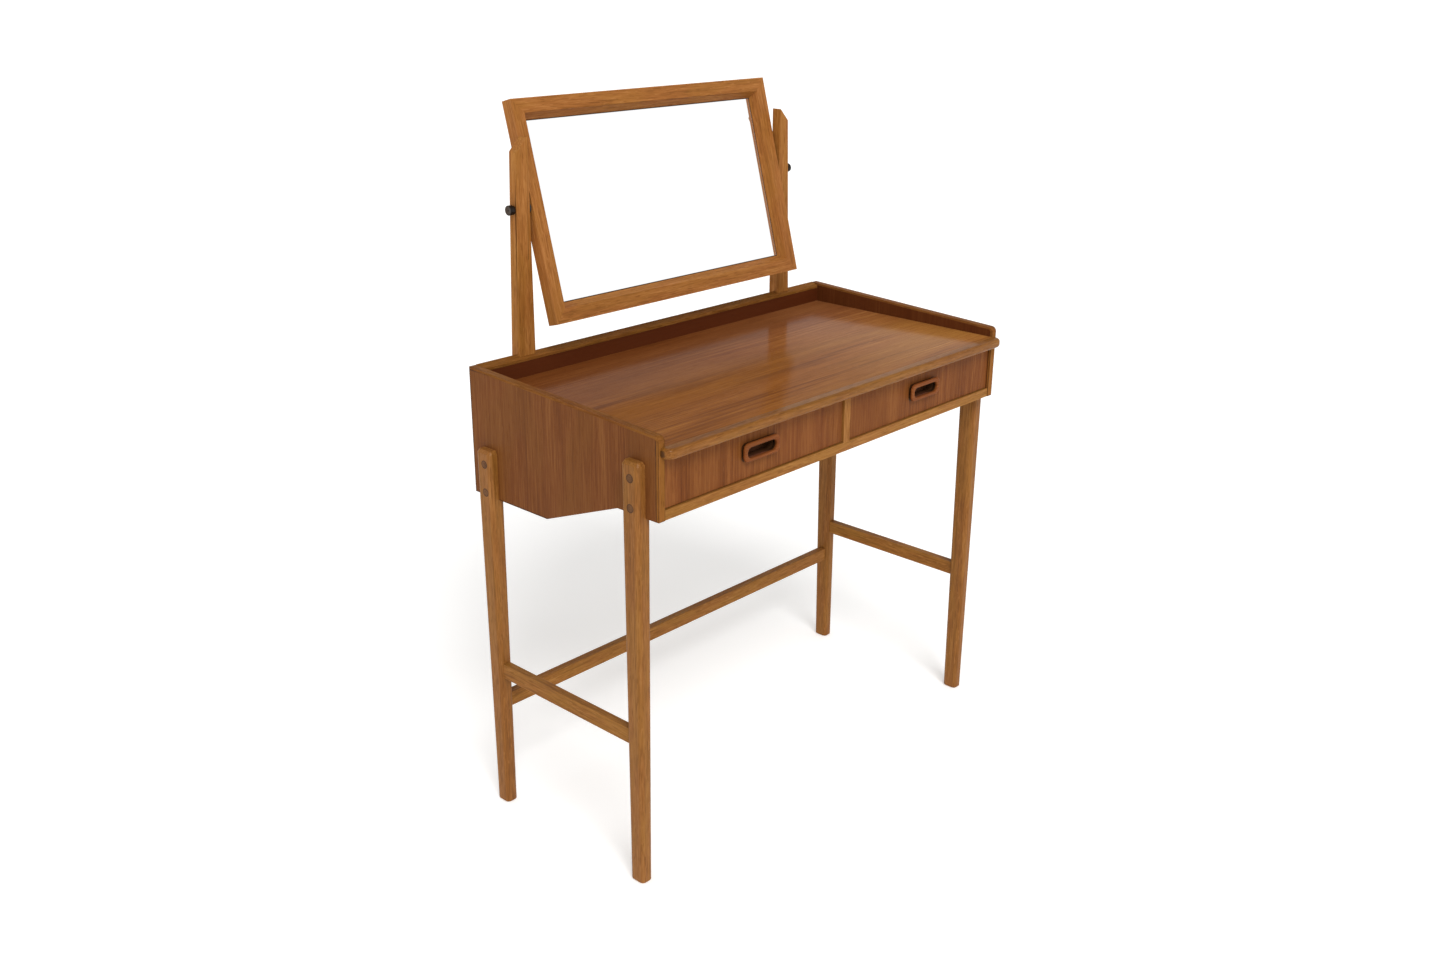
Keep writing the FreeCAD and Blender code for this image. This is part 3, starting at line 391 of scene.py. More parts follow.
def leaf_shade(finish, place, wood, seed):
    """Shade of a veneer's leaves: one value for each leaf, and a dark joint where it starts."""
    width = bpy.context.scene.vanity_timber.leaf_width
    counted = (finish.parts(place)[wood["leaf_axis"]] + wood["leaf_shift"]) / width
    index = finish.maths("FLOOR", counted)
    joint = 1 - finish.step((counted - index) * width, *LEAF_JOINT)
    leaf = finish.add("ShaderNodeTexWhiteNoise", {"noise_dimensions": "1D"},
                      {"W": index + seed * 3.1})
    value = Shade(finish, leaf.outputs["Value"]) - 0.5
    return value * wood["leaves"] - joint * wood["joint_depth"]


def aged(finish, tone, place, half, wood, dark):
    """Marks of age and painted shade, where the wood asks for them; gives tone and coat weight.

    A face that was never sunned keeps a patina deepened by painted shade, ends get painted crevice
    shade, plugs have a dark rim, and the tone is multiplied by a gain growing towards +X and by a
    painted light growing towards the front, in place of shade and dark reflections further back.
    """
    sizes = bpy.context.scene.vanity_timber
    parts = finish.parts(place)
    coat = wood["coat"]
    # patina with painted shade, on the face turned from the sun
    if wood["shaded_axis"] is not None:
        face = float(half[wood["shaded_axis"]])
        outward = parts[wood["shaded_axis"]] * wood["shaded_sign"]
        inner = finish.step(outward, *[face - depth for depth in NEVER_SUNNED])
        tone = finish.blend(inner * wood["shaded_depth"], tone, opaque(sizes.patina))
    # painted shade of the crevice at each end of the piece
    if wood["end_depth"]:
        inset = float(half[0]) - abs(parts[0])
        grimy = (1 - finish.step(inset, *END_GRIME)) * wood["end_depth"]
        tone = finish.blend(grimy, tone, opaque(sizes.glue))
        coat = (1 - grimy) * wood["coat"]
    if wood["rings"]:
        _, across, up = finish.parts(finish.here())
        nearest = 1.0
        for y, z, radius in wood["rings"]:
            offset = ((across - y) * (across - y) + (up - z) * (up - z)) ** 0.5
            nearest = finish.least(nearest, offset / radius)
        tone = finish.blend(finish.step(nearest, *PLUG_RIM) * 0.75, tone, dark)
    if wood["faded_depth"]:
        # painted light: paler towards the front, in place of shade and dark reflections towards
        # the back
        worn = 1 - finish.step(parts[1], *wood["worn_from_to"])
        tone = finish.blend(worn * wood["worn_depth"], tone, opaque(sizes.worn), "MULTIPLY")
        # paler towards +X by a gain, with more coat there
        sunned = finish.step(parts[0], *wood["faded_from_to"])
        tone = finish.blend(sunned * wood["faded_depth"], tone, opaque(sizes.faded), "MULTIPLY")
        coat = (sunned * 0.5 + 0.5) * wood["coat"]
    return tone, coat


def holed(finish, tone, wood):
    """Painted shade at a handle: behind its plate, in the finger hole and under the plate's foot.

    The hole's painted shade deepens towards its right end.  The foot's outline is a rounded
    rectangle, and the distance beyond it is hypot(max(|x| - a, 0), max(|z| - b, 0)) - corner.
    """
    sizes = bpy.context.scene.vanity_timber
    glue = opaque(sizes.glue)
    across, deep, up = finish.parts(finish.here())
    if wood["neck"]:
        # painted shade on the neck behind the plate
        behind = finish.step(deep, wood["neck"], wood["neck"] + NECK_SHADE)
        tone = finish.blend(behind * 0.85, tone, glue)
    (x, y, z), (half_x, half_z) = wood["hollow"]
    # painted shade inside the finger hole, deepening towards its right end
    inside = ((1 - finish.step(abs(across - x), half_x, half_x + HOLE_RIM))
              * (1 - finish.step(abs(up - z), half_z, half_z + HOLE_RIM))
              * finish.step(deep, y, y + HOLE_SHADE))
    grime = finish.step(across, x + half_x * 0.10, x + half_x * 0.85)
    tone = finish.blend(inside * 0.9, tone, finish.blend(grime, opaque(sizes.hollow), glue))
    # painted shadow of the plate on the drawer front
    if wood["foot"]:
        (x, z), (half_x, half_z), corner = wood["foot"]
        over = finish.most(abs(across - x) - (half_x - corner), 0.0)
        above = finish.most(abs(up - z) - (half_z - corner), 0.0)
        beyond = (over * over + above * above) ** 0.5 - corner
        tone = finish.blend((1 - finish.step(beyond, *PLATE_FOOT)) * 0.85, tone, glue)
    return tone


def timber(name, kind, nodes, turn, seed, **changes):
    """Material of a wooden piece.

    The shade is a sum of three noises drawn out along the grain: broad columns, growth stripes
    that sway a little and are strong only in figured patches, and fibres.  It picks a colour
    between dark, middle and light, and a further noise turns some columns golden.  Pores are
    short dark dashes that are also rougher and lower, flecks and scratches are pale ones, and
    the arrises are rubbed paler or, where boards are glued flush, darkened.
    """
    sizes = bpy.context.scene.vanity_timber
    wood = {**WOODS[kind], **changes}
    dark, middle, light, golden = [
        opaque([one * other for one, other in zip(getattr(sizes, wood["colours"] + "_" + tone),
                                                  wood["tint"])])
        for tone in TONES]
    finish = Finish(name)
    place, half = laid_out(finish, nodes, turn)
    shifted = finish.vectors("ADD", place, tuple(seed * step for step in SEED_STEP))
    if wood["front_strip"]:
        shifted, strip = finish.turned_front(shifted, nodes, wood["front_strip"])
    drift = (finish.noise(shifted, (1.6, 5.0, 5.0), 1.0) - 0.5) * wood["sway"]
    swayed = finish.add("ShaderNodeCombineXYZ", {}, {1: drift, 2: drift})
    grain = finish.vectors("ADD", shifted, swayed.outputs[0])
    columns = finish.noise(grain, wood["columns"], 1.0) - 0.5
    stripes = finish.noise(grain, wood["stripes"], 4.0, 0.78) - 0.5
    fibres = finish.noise(grain, wood["fibres"], 2.0, 0.6) - 0.5
    figure = finish.step(finish.noise(shifted, wood["figures"], 2.0), *FIGURED) * 1.3 + 0.35
    shade = (columns * wood["column_depth"] + stripes * wood["stripe_depth"] * figure
             + fibres * wood["fibre_depth"] + 0.5 + wood["lift"])
    if wood["leaves"]:
        shade = shade + leaf_shade(finish, place, wood, seed)
    tone = finish.blend(finish.step(shade, *TO_MIDDLE), dark, middle)
    tone = finish.blend(finish.step(shade, *TO_LIGHT), tone, light)
    if wood["front_strip"]:
        tone = finish.blend(strip * wood["strip_depth"], tone, opaque(sizes.oak_middle))
    cast = finish.step(finish.noise(grain, wood["casts"], 1.0), *GOLDEN)
    tone = finish.blend(cast * wood["cast_depth"], tone, golden)
    pores = finish.step(finish.noise(grain, wood["pores"], 1.0), wood["pore_start"],
                        wood["pore_start"] + PORE_RISE)
    tone = finish.blend(pores * wood["pore_depth"], tone, dark)
    flecks = finish.step(finish.noise(grain, wood["flecks"], 1.0), *FLECKED)
    tone = finish.blend(flecks * wood["fleck_depth"], tone, light)
    scratches = finish.step(finish.noise(shifted, wood["scratches"], 0.0), *SCRATCHED)
    tone = finish.blend(scratches * wood["scratch_depth"], tone, light)
    edge = edge_distance(finish, place, half)
    rubbed = (1 - finish.step(edge, RUBBED_FROM, wood["edge_width"])) * finish.least(
        finish.noise(shifted, (60.0, 60.0, 60.0)) * 1.6, 1.0)
    tone = finish.blend(rubbed * wood["edge_depth"], tone,
                        opaque(sizes.glue) if wood["glued"] else light)
    tone, coat = aged(finish, tone, place, half, wood, dark)
    if wood["hollow"]:
        tone = holed(finish, tone, wood)
    handled = finish.noise(shifted, (9.0, 9.0, 9.0), 3.0) - 0.5
    rough = wood["roughness"] + stripes * 0.10 + pores * 0.16 + handled * wood["smudges"]
    height = fibres * 0.35 - pores * 0.8 + stripes * 0.12
    return finish.wear(Base_Color=tone, Roughness=rough, Specular_IOR_Level=wood["gloss"],
                       Coat_Weight=coat, Coat_Roughness=wood["coat_roughness"],
                       Normal=finish.bump(height, 0.35, 0.00016))


TEAK = {"colours": "teak", "columns": (4.5, 34.0, 34.0), "column_depth": 0.8,
        "stripes": (2.4, 230.0, 230.0), "stripe_depth": 1.15, "fibres": (12.0, 560.0, 560.0),
        "fibre_depth": 0.85, "figures": (3.0, 24.0, 24.0), "casts": (6.0, 17.0, 17.0),
        "cast_depth": 0.35, "pores": (36.0, 1150.0, 1150.0), "pore_start": 0.57,
        "pore_depth": 0.45, "flecks": (50.0, 600.0, 600.0), "fleck_depth": 0.1,
        "scratches": (45.0, 420.0, 420.0), "scratch_depth": 0.5, "sway": 0.012, "lift": 0.0,
        "roughness": 0.45, "smudges": 0.12, "gloss": 0.06, "coat": 0.0, "coat_roughness": 0.25,
        "tint": (1.0, 1.0, 1.0), "edge_width": 0.0016, "edge_depth": 0.35, "glued": False,
        "leaves": 0.0, "leaf_axis": 1, "leaf_shift": 0.0, "joint_depth": 0.25,
        "front_strip": 0.0, "strip_depth": 0.0, "shaded_axis": None, "shaded_sign": 1.0,
        "shaded_depth": 0.6, "end_depth": 0.0, "rings": (), "faded_depth": 0.0,
        "faded_from_to": (0.0, 0.4), "worn_depth": 0.0, "worn_from_to": (-0.1, 0.1),
        "hollow": (), "neck": 0.0, "foot": ()}
OAK = dict(TEAK, colours="oak", columns=(1.4, 34.0, 34.0), column_depth=0.6,
           stripes=(5.0, 240.0, 240.0), stripe_depth=1.2, fibres=(28.0, 520.0, 520.0),
           fibre_depth=1.2, figures=(9.0, 40.0, 40.0), pores=(45.0, 640.0, 640.0),
           pore_start=0.58, pore_depth=0.6, flecks=(70.0, 430.0, 430.0), fleck_depth=0.5,
           casts=(9.0, 40.0, 40.0), cast_depth=0.4, sway=0.016, edge_depth=0.4, roughness=0.46,
           gloss=0.07)
WOODS = {
    "teak": TEAK,
    "oak": OAK,
    "solid_teak": dict(TEAK, stripes=(9.0, 260.0, 260.0), columns=(10.0, 60.0, 60.0),
                       stripe_depth=0.9, edge_depth=0.3, roughness=0.42,
                       tint=(1.16, 1.02, 0.98)),
    "drawer_wood": dict(OAK, colours="box", pore_depth=0.22, stripe_depth=0.7, roughness=0.58,
                        edge_depth=0.1),
    "board": dict(TEAK, colours="board", columns=(14.0, 14.0, 14.0),
                  stripes=(240.0, 240.0, 240.0), fibres=(900.0, 900.0, 900.0),
                  pores=(700.0, 700.0, 700.0), pore_depth=0.3, roughness=0.62, edge_depth=0.2),
    "plug": dict(TEAK, colours="plug", columns=(90.0, 90.0, 90.0),
                 stripes=(300.0, 420.0, 420.0), fibres=(600.0, 900.0, 900.0), pore_depth=0.5,
                 edge_depth=0.0),
}


STEEL = (0.42, 0.42, 0.43)
BRIGHT_STEEL = (0.45, 0.45, 0.46)
BRASS = (0.50, 0.36, 0.16)


def metal(name, nodes, tint, roughness, tarnish):
    """Turned or stamped metal: fine lathe lines, and tarnish in soft spots."""
    finish = Finish(name)
    place = laid_out(finish, nodes, ALONG_X)[0]
    spots = finish.step(finish.noise(place, (300.0, 300.0, 300.0), 3.0), 0.45, 0.68)
    lines = finish.noise(place, (2600.0, 700.0, 700.0), 1.0)
    tone = finish.blend(spots * tarnish, opaque(tint), opaque([0.35 * value for value in tint]))
    return finish.wear(Base_Color=tone, Metallic=1.0,
                       Roughness=roughness + spots * 0.2 + lines * 0.08,
                       Normal=finish.bump(lines, 0.2, 0.00003))


# ---------------------------------------------------------------- pieces
WELD_GAP = 0.00001
SHARP = math.radians(32.0)


def eased(node, width, material):
    """Gives a node its material and rounds its arrises: doubles welded, then a small bevel."""
    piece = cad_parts[node]
    weld = piece.modifiers.new("Weld", "WELD")
    weld.merge_threshold = WELD_GAP
    if width > 0.0:
        bevel = piece.modifiers.new("Arris", "BEVEL")
        bevel.width = width
        bevel.segments = 2
        bevel.limit_method = "ANGLE"
        bevel.angle_limit = SHARP
    piece.data.materials.clear()
    piece.data.materials.append(material)


def planed(node, width, kind, turn, seed, **changes):
    """Gives a wooden node its own timber and rounds its arrises."""
    eased(node, width, timber(kind + "_" + node, kind, [node], turn, seed, **changes))


def placing(node):
    """Middle of a node's box, and half its size."""
    low, high = (np.array(corner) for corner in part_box(node))
    return (low + high) / 2, (high - low) / 2


def shaped(points, faces, name, material):
    """Puts points and faces into the scene as one object."""
    mesh = bpy.data.meshes.new(name)
    mesh.from_pydata(points.tolist(), [], faces)
    mesh.materials.append(material)
    piece = bpy.data.objects.new(name, mesh)
    bpy.context.scene.collection.objects.link(piece)
    return piece


def surface(points, faces, name, body, node, slot, material):
    """Makes a smooth piece that rides a body and stands for a node."""
    piece = shaped(points, faces, name, material)
    piece.data.shade_smooth()
    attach(piece, body)
    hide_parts(node)


def sewn(grid):
    """Points and faces of a grid that closes on itself both ways.

    grid[i, j] is a point; i and j both wrap round.  The face between (i, j) and (i + 1, j + 1)
    runs in that order, so its front is on the side of d/di x d/dj.
    """
    rows, columns = grid.shape[:2]
    index = np.arange(rows * columns).reshape(rows, columns)
    after = np.roll(index, -1, axis=0)
    faces = np.stack([index, after, np.roll(after, -1, axis=1), np.roll(index, -1, axis=1)],
                     axis=-1)
    return grid.reshape(-1, 3), faces.reshape(-1, 4).tolist()


def spun(grid, closed=True):
    """Points and faces of a surface of revolution, grid[i, j], where only j wraps round.

    The first row is a single point, and so is the last one of a closed surface: a pole, which
    is closed with triangles.
    """
    rings = grid[1:-1] if closed else grid[1:]
    columns = grid.shape[1]
    index = 1 + np.arange(len(rings) * columns).reshape(len(rings), columns)
    beside = np.roll(index, -1, axis=1)
    walls = np.stack([index[:-1], index[1:], beside[1:], beside[:-1]], axis=-1).reshape(-1, 4)
    first_cap = np.stack([np.zeros(columns, int), index[0], beside[0]], axis=-1)
    points = [grid[:1, 0], rings.reshape(-1, 3)]
    faces = walls.tolist() + first_cap.tolist()
    if closed:
        pole = np.full(columns, 1 + index.size)
        points.append(grid[-1:, 0])
        faces += np.stack([index[-1], pole, beside[-1]], axis=-1).tolist()
    return np.concatenate(points), faces


def arc(centre, radius, start, end, count):
    """Points on an arc of a profile: centre + radius (cos t, sin t), t from start to end."""
    turn = np.radians(np.linspace(start, end, count))
    return np.stack([centre[0] + radius * np.cos(turn), centre[1] + radius * np.sin(turn)],
                    axis=-1)


class CaseFinish(bpy.types.Operator):
    """Timber of the case: sides, their strips, the top, the back and the front frame"""
    bl_idname = "vanity.case_finish"
    bl_label = "Finish the case"

    def execute(self, context):
        sizes = context.scene.vanity_timber
        fine = sizes.fine_arris
        for number, (side, inward) in enumerate(zip(SIDES, (1.0, -1.0))):
            # the inner faces get patina with painted shade
            planed("side_panel_" + side, fine, "teak", ALONG_Z, 1.0 + number, leaves=0.3,
                   leaf_shift=0.0315, joint_depth=0.6, stripe_depth=0.95, column_depth=0.55,
                   fibre_depth=1.1, glued=True, edge_depth=1.0, edge_width=0.0030,
                   shaded_axis=2, shaded_sign=-inward)
            planed("edge_lipping_" + side, fine, "oak", ALONG_Y, 3.0 + number, glued=True,
                   edge_depth=0.7, front_strip=0.009, strip_depth=0.7, gloss=0.02,
                   tint=(0.72, 0.64, 0.70))
        # painted light makes the top paler towards the front; it is also paler towards +X
        planed("table_top", fine, "teak", ALONG_X, 5.0, leaves=0.12, roughness=0.58, gloss=0.02,
               coat=0.26, coat_roughness=0.14, stripes=(1.8, 190.0, 190.0), stripe_depth=1.4,
               figures=(2.0, 14.0, 14.0), casts=(2.0, 9.0, 9.0), glued=True, faded_depth=0.6,
               faded_from_to=(-0.05, 0.42), worn_depth=0.75, worn_from_to=(-0.13, 0.17),
               tint=(1.03, 0.90, 0.88))
        # its ends get painted crevice shade
        planed("front_lip", fine, "oak", ALONG_X, 6.0, tint=(0.80, 0.74, 0.62), coat=0.16,
               coat_roughness=0.07, end_depth=0.8)
        # its inner face gets patina with painted shade
        planed("back_panel", fine, "teak", ALONG_X, 7.0, leaf_axis=2, leaves=0.1,
               shaded_axis=1, shaded_sign=-1.0, shaded_depth=0.88)
        planed("gallery_lipping", sizes.arris, "oak", ALONG_X, 8.0, tint=(0.76, 0.72, 0.66),
               gloss=0.03)
        planed("bottom_rail", fine, "oak", ALONG_X, 9.0)
        planed("drawer_divider", fine, "oak", ALONG_Z, 10.0, lift=0.05)
        planed("dust_board", fine, "board", ALONG_X, 11.0)
        planed("centre_partition", fine, "drawer_wood", ALONG_Y, 12.0)
        return {"FINISHED"}


def finger_hole(half, sizes):
    """Half the length and height of a handle's finger hole, with a hair to spare."""
    hair = 0.0004
    return half[0] - sizes.rim + hair, half[2] - sizes.rim + hair


class DrawerFinish(bpy.types.Operator):
    """Timber of the drawer fronts, the drawer boxes, their runners and stops"""
    bl_idname = "vanity.drawer_finish"
    bl_label = "Finish the drawers"

    def execute(self, context):
        sizes = context.scene.vanity_timber
        handle = context.scene.vanity_handle
        for number, side in enumerate(SIDES):
            seed = 20.0 + 5 * number
            node = "drawer_front_" + side
            (x, _, z), half = placing("drawer_handle_" + side)
            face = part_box("drawer_front_" + side)[0][1]
            # painted shade in the finger hole and under the handle's plate
            planed(node, sizes.arris * 0.6, "teak", ALONG_Z, seed, leaves=0.16, leaf_shift=0.03,
                   stripe_depth=1.5, fibre_depth=1.1, cast_depth=0.22,
                   columns=(2.6, 26.0, 26.0), tint=(1.10, 1.04, 0.98),
                   hollow=((x, face - 0.002, z), finger_hole(half, handle)),
                   foot=((x, z), (half[0], half[2]), handle.corner_radius))
            for part, turn in (("side_inner", ALONG_Y), ("side_outer", ALONG_Y),
                               ("back", ALONG_X), ("bottom", ALONG_X)):
                kind = "board" if part == "bottom" else "drawer_wood"
                seed += 1.0
                planed("drawer_" + part + "_" + side, sizes.arris * 0.5, kind, turn, seed)
            planed("drawer_runners_" + side, 0.0, "drawer_wood", ALONG_Y, seed + 1)
        planed("drawer_stops", 0.0, "drawer_wood", ALONG_X, 31.0)
        return {"FINISHED"}


class HandlePieces(bpy.types.Operator):
    """Ring-shaped pulls of the two drawers, each one closed surface"""
    bl_idname = "vanity.handle_pieces"
    bl_label = "Make the handles"

    def outline(self, half_x, half_z, radius, steps):
        """Rounded rectangle, anticlockwise seen from the front.

        Corner k turns from 90 k to 90 (k + 1) degrees about a centre that stands in from the
        rectangle's corner by the radius: x = cx + r cos t, z = cz + r sin t.  Each size is a
        column, one for each ring of the surface.
        """
        turn = np.radians(np.concatenate([np.linspace(90 * k, 90 * (k + 1), steps)
                                          for k in range(4)]))
        side_x = np.repeat([1.0, -1.0, -1.0, 1.0], steps)
        side_z = np.repeat([1.0, 1.0, -1.0, -1.0], steps)
        x = side_x * (half_x - radius)[:, None] + radius[:, None] * np.cos(turn)
        z = side_z * (half_z - radius)[:, None] + radius[:, None] * np.sin(turn)
        return x, z

    def profile(self, sizes, front, back):
        """(inset from the outer edge, depth): up the neck, over the plate and into the hole."""
        soft = sizes.plate_rounding
        under = front + sizes.plate
        outer, inner = sizes.outer_radius, sizes.inner_radius
        return np.concatenate([
            [[sizes.undercut, back], [sizes.undercut, under + soft]],
            arc((sizes.undercut - soft, under + soft), soft, 0, -90, 4),
            arc((soft, under - soft), soft, 90, 180, 4),
            arc((outer, front + outer), outer, 180, 270, 8),
            [[sizes.rim * 0.5, front]],
            arc((sizes.rim - inner, front + inner), inner, -90, 0, 8),
            [[sizes.rim, under], [sizes.rim, back]],
        ])

    def execute(self, context):
        sizes = context.scene.vanity_handle
        for number, side in enumerate(SIDES):
            node = "drawer_handle_" + side
            middle, half = placing(node)
            front = middle[1] - half[1]
            under = front + sizes.plate
            inset, depth = self.profile(sizes, front, middle[1] + half[1]).T
            share = np.clip(inset / sizes.rim, 0.0, 1.0)
            radius = (1 - share) * sizes.corner_radius + share * (half[2] - sizes.rim)
            radius = np.minimum(radius, half[2] - inset)
            x, z = self.outline(half[0] - inset, half[2] - inset, radius, sizes.steps)
            # the ring is lower by bottom_trim at its foot, none of it taken off the finger hole
            z = np.where(z < 0.0, z + sizes.bottom_trim * (1 - share)[:, None], z)
            y = np.broadcast_to(depth[:, None], x.shape)
            grid = np.stack([middle[0] + x, y, middle[2] + z], axis=-1)
            # painted shade behind the plate and inside the finger hole
            teak = timber("teak_" + node, "solid_teak", [node], ALONG_X, 40.0 + number,
                          hollow=((middle[0], under - 0.001, middle[2]),
                                  finger_hole(half, sizes)),
                          neck=float(under) - 0.0006)
            surface(*sewn(grid), "handle_" + side, "drawer_" + side, node, "teak", teak)
        return {"FINISHED"}


class LegFinish(bpy.types.Operator):
    """Timber of the legs, their plugs and the stretchers"""
    bl_idname = "vanity.leg_finish"
    bl_label = "Finish the legs"

    def plug_axes(self):
        """(y, z, radius) of the plugs' axes: the middles of their ends on one side.

        Points of one end are closer together than the plugs stand apart.
        """
        apart = 0.02
        rows = corners("leg_plugs")
        ends = rows[rows[:, 0] > rows[:, 0].max() - CRISP][:, 1:]
        axes = []
        while len(ends):
            near = np.hypot(*(ends - ends[0]).T) < apart
            low, high = ends[near].min(axis=0), ends[near].max(axis=0)
            axes.append((*((low + high) / 2).tolist(), float(high[1] - low[1]) / 2))
            ends = ends[~near]
        return axes

    def execute(self, context):
        sizes = context.scene.vanity_timber
        for number, side in enumerate(SIDES):
            for place, lift, seed in (("front", 0.02, 57.0), ("back", -0.02, 50.0)):
                planed("leg_" + place + "_" + side, sizes.leg_arris, "oak", ALONG_Z,
                       seed + 3 * number, lift=lift - 0.06 * number, tint=(0.87, 0.83, 0.82),
                       coat=0.12)
            planed("side_stretcher_" + side, sizes.arris, "oak", ALONG_Y, 60.0 + number,
                   lift=-0.12)
        planed("back_stretcher", sizes.arris, "oak", ALONG_X, 63.0, lift=-0.12)
        planed("leg_plugs", sizes.fine_arris, "plug", ALONG_X, 64.0, rings=self.plug_axes())
        eased("leg_screws", 0.0, metal("steel_leg_screws", ["leg_screws"], STEEL, 0.35, 0.5))
        return {"FINISHED"}


class PostFinish(bpy.types.Operator):
    """Timber of the two mirror posts, and their screws"""
    bl_idname = "vanity.post_finish"
    bl_label = "Finish the posts"

    def execute(self, context):
        sizes = context.scene.vanity_timber
        for number, side in enumerate(SIDES):
            planed("mirror_post_" + side, sizes.arris, "oak", ALONG_Z, 70.0 + number,
                   tint=(1.16, 1.10, 1.12))
        eased("post_screws", 0.0, metal("steel_post_screws", ["post_screws"], STEEL, 0.35, 0.5))
        return {"FINISHED"}


class MirrorFinish(bpy.types.Operator):
    """Mitred frame, silvered glass, backing and clips of the mirror"""
    bl_idname = "vanity.mirror_finish"
    bl_label = "Finish the mirror"

    def execute(self, context):
        sizes = context.scene.vanity_timber
        lean = glass_lean()
        level = (lean, 0.0, 0.0)
        upright = (lean, math.pi / 2, 0.0)
        for number, (part, turn) in enumerate((("rail_top", level), ("rail_bottom", level),
                                               ("stile_left", upright),
                                               ("stile_right", upright))):
            planed("mirror_" + part, sizes.arris * 0.5, "oak", turn, 80.0 + number,
                   tint=(1.12, 1.03, 1.1))
        planed("mirror_backing", 0.0, "board", level, 85.0)
        eased("mirror_clips", 0.0, metal("brass_clips", ["mirror_clips"], BRASS, 0.38, 0.6))
        eased("clip_screws", 0.0, metal("steel_clip_screws", ["clip_screws"], STEEL, 0.35, 0.4))
        eased("mirror_glass", 0.0, self.silvered(level))
        return {"FINISHED"}

    def silvered(self, turn):
        """Silvered glass: a clean reflection, dimmer in hazy spots, painted shadow along the
        rebate.

        inward is the distance from the frame's inner edge, right and top half the opening.
        """
        finish = Finish("silvered_glass")
        matrix = np.array(Euler(turn, "XYZ").to_matrix()).T
        middle = corners("mirror_glass") @ matrix
        middle = (middle.min(axis=0) + middle.max(axis=0)) / 2
        right = float((corners("mirror_stile_right") @ matrix)[:, 0].min() - middle[0])
        top = float((corners("mirror_rail_top") @ matrix)[:, 2].min() - middle[2])
        place = laid_out(finish, ["mirror_glass"], turn)[0]
        across, _, up = finish.parts(place)
        inward = finish.least(right - abs(across), top - abs(up))
        # painted shadow line along the rebate: dark, rough and not metallic
        seam = 1 - finish.step(inward, *GLASS_SEAM)
        haze = finish.step(finish.noise(place, (7.0, 7.0, 7.0), 4.0), 0.55, 0.85)
        tone = finish.blend(haze * 0.15, opaque([0.985] * 3), opaque([0.95] * 3))
        tone = finish.blend(seam, tone, opaque(bpy.context.scene.vanity_timber.glue))
        return finish.wear(Base_Color=tone, Metallic=1 - seam, Specular_IOR_Level=0.05,
                           Roughness=0.012 + haze * 0.015 + seam * 0.6)


class PivotFinish(bpy.types.Operator):
    """Washers, inserts and studs of the mirror's pivots"""
    bl_idname = "vanity.pivot_finish"
    bl_label = "Finish the pivots"

    def execute(self, context):
        washers, inserts, studs = [[part + side for side in SIDES] for part in
                                   ("friction_washer_", "threaded_insert_", "knob_stud_")]
        brass = metal("brass_inserts", inserts, BRASS, 0.32, 0.4)
        steel = metal("steel_studs", studs, BRIGHT_STEEL, 0.3, 0.4)
        for nodes, width, material in ((washers, 0.0002, self.fibre(washers)),
                                       (inserts, 0.0, brass), (studs, 0.0, steel)):
            for node in nodes:
                eased(node, width, material)
        return {"FINISHED"}

    def fibre(self, nodes):
        """Black vulcanised fibre: fine specks, a little rough."""
        finish = Finish("fibre_washer")
        place = laid_out(finish, nodes, ALONG_X)[0]
        specks = finish.noise(place, (900.0, 900.0, 900.0), 3.0)
        tone = finish.blend(specks, (0.012, 0.010, 0.009, 1.0), (0.045, 0.036, 0.030, 1.0))
        return finish.wear(Base_Color=tone, Roughness=0.6 + specks * 0.2,
                           Normal=finish.bump(specks, 0.4, 0.0001))


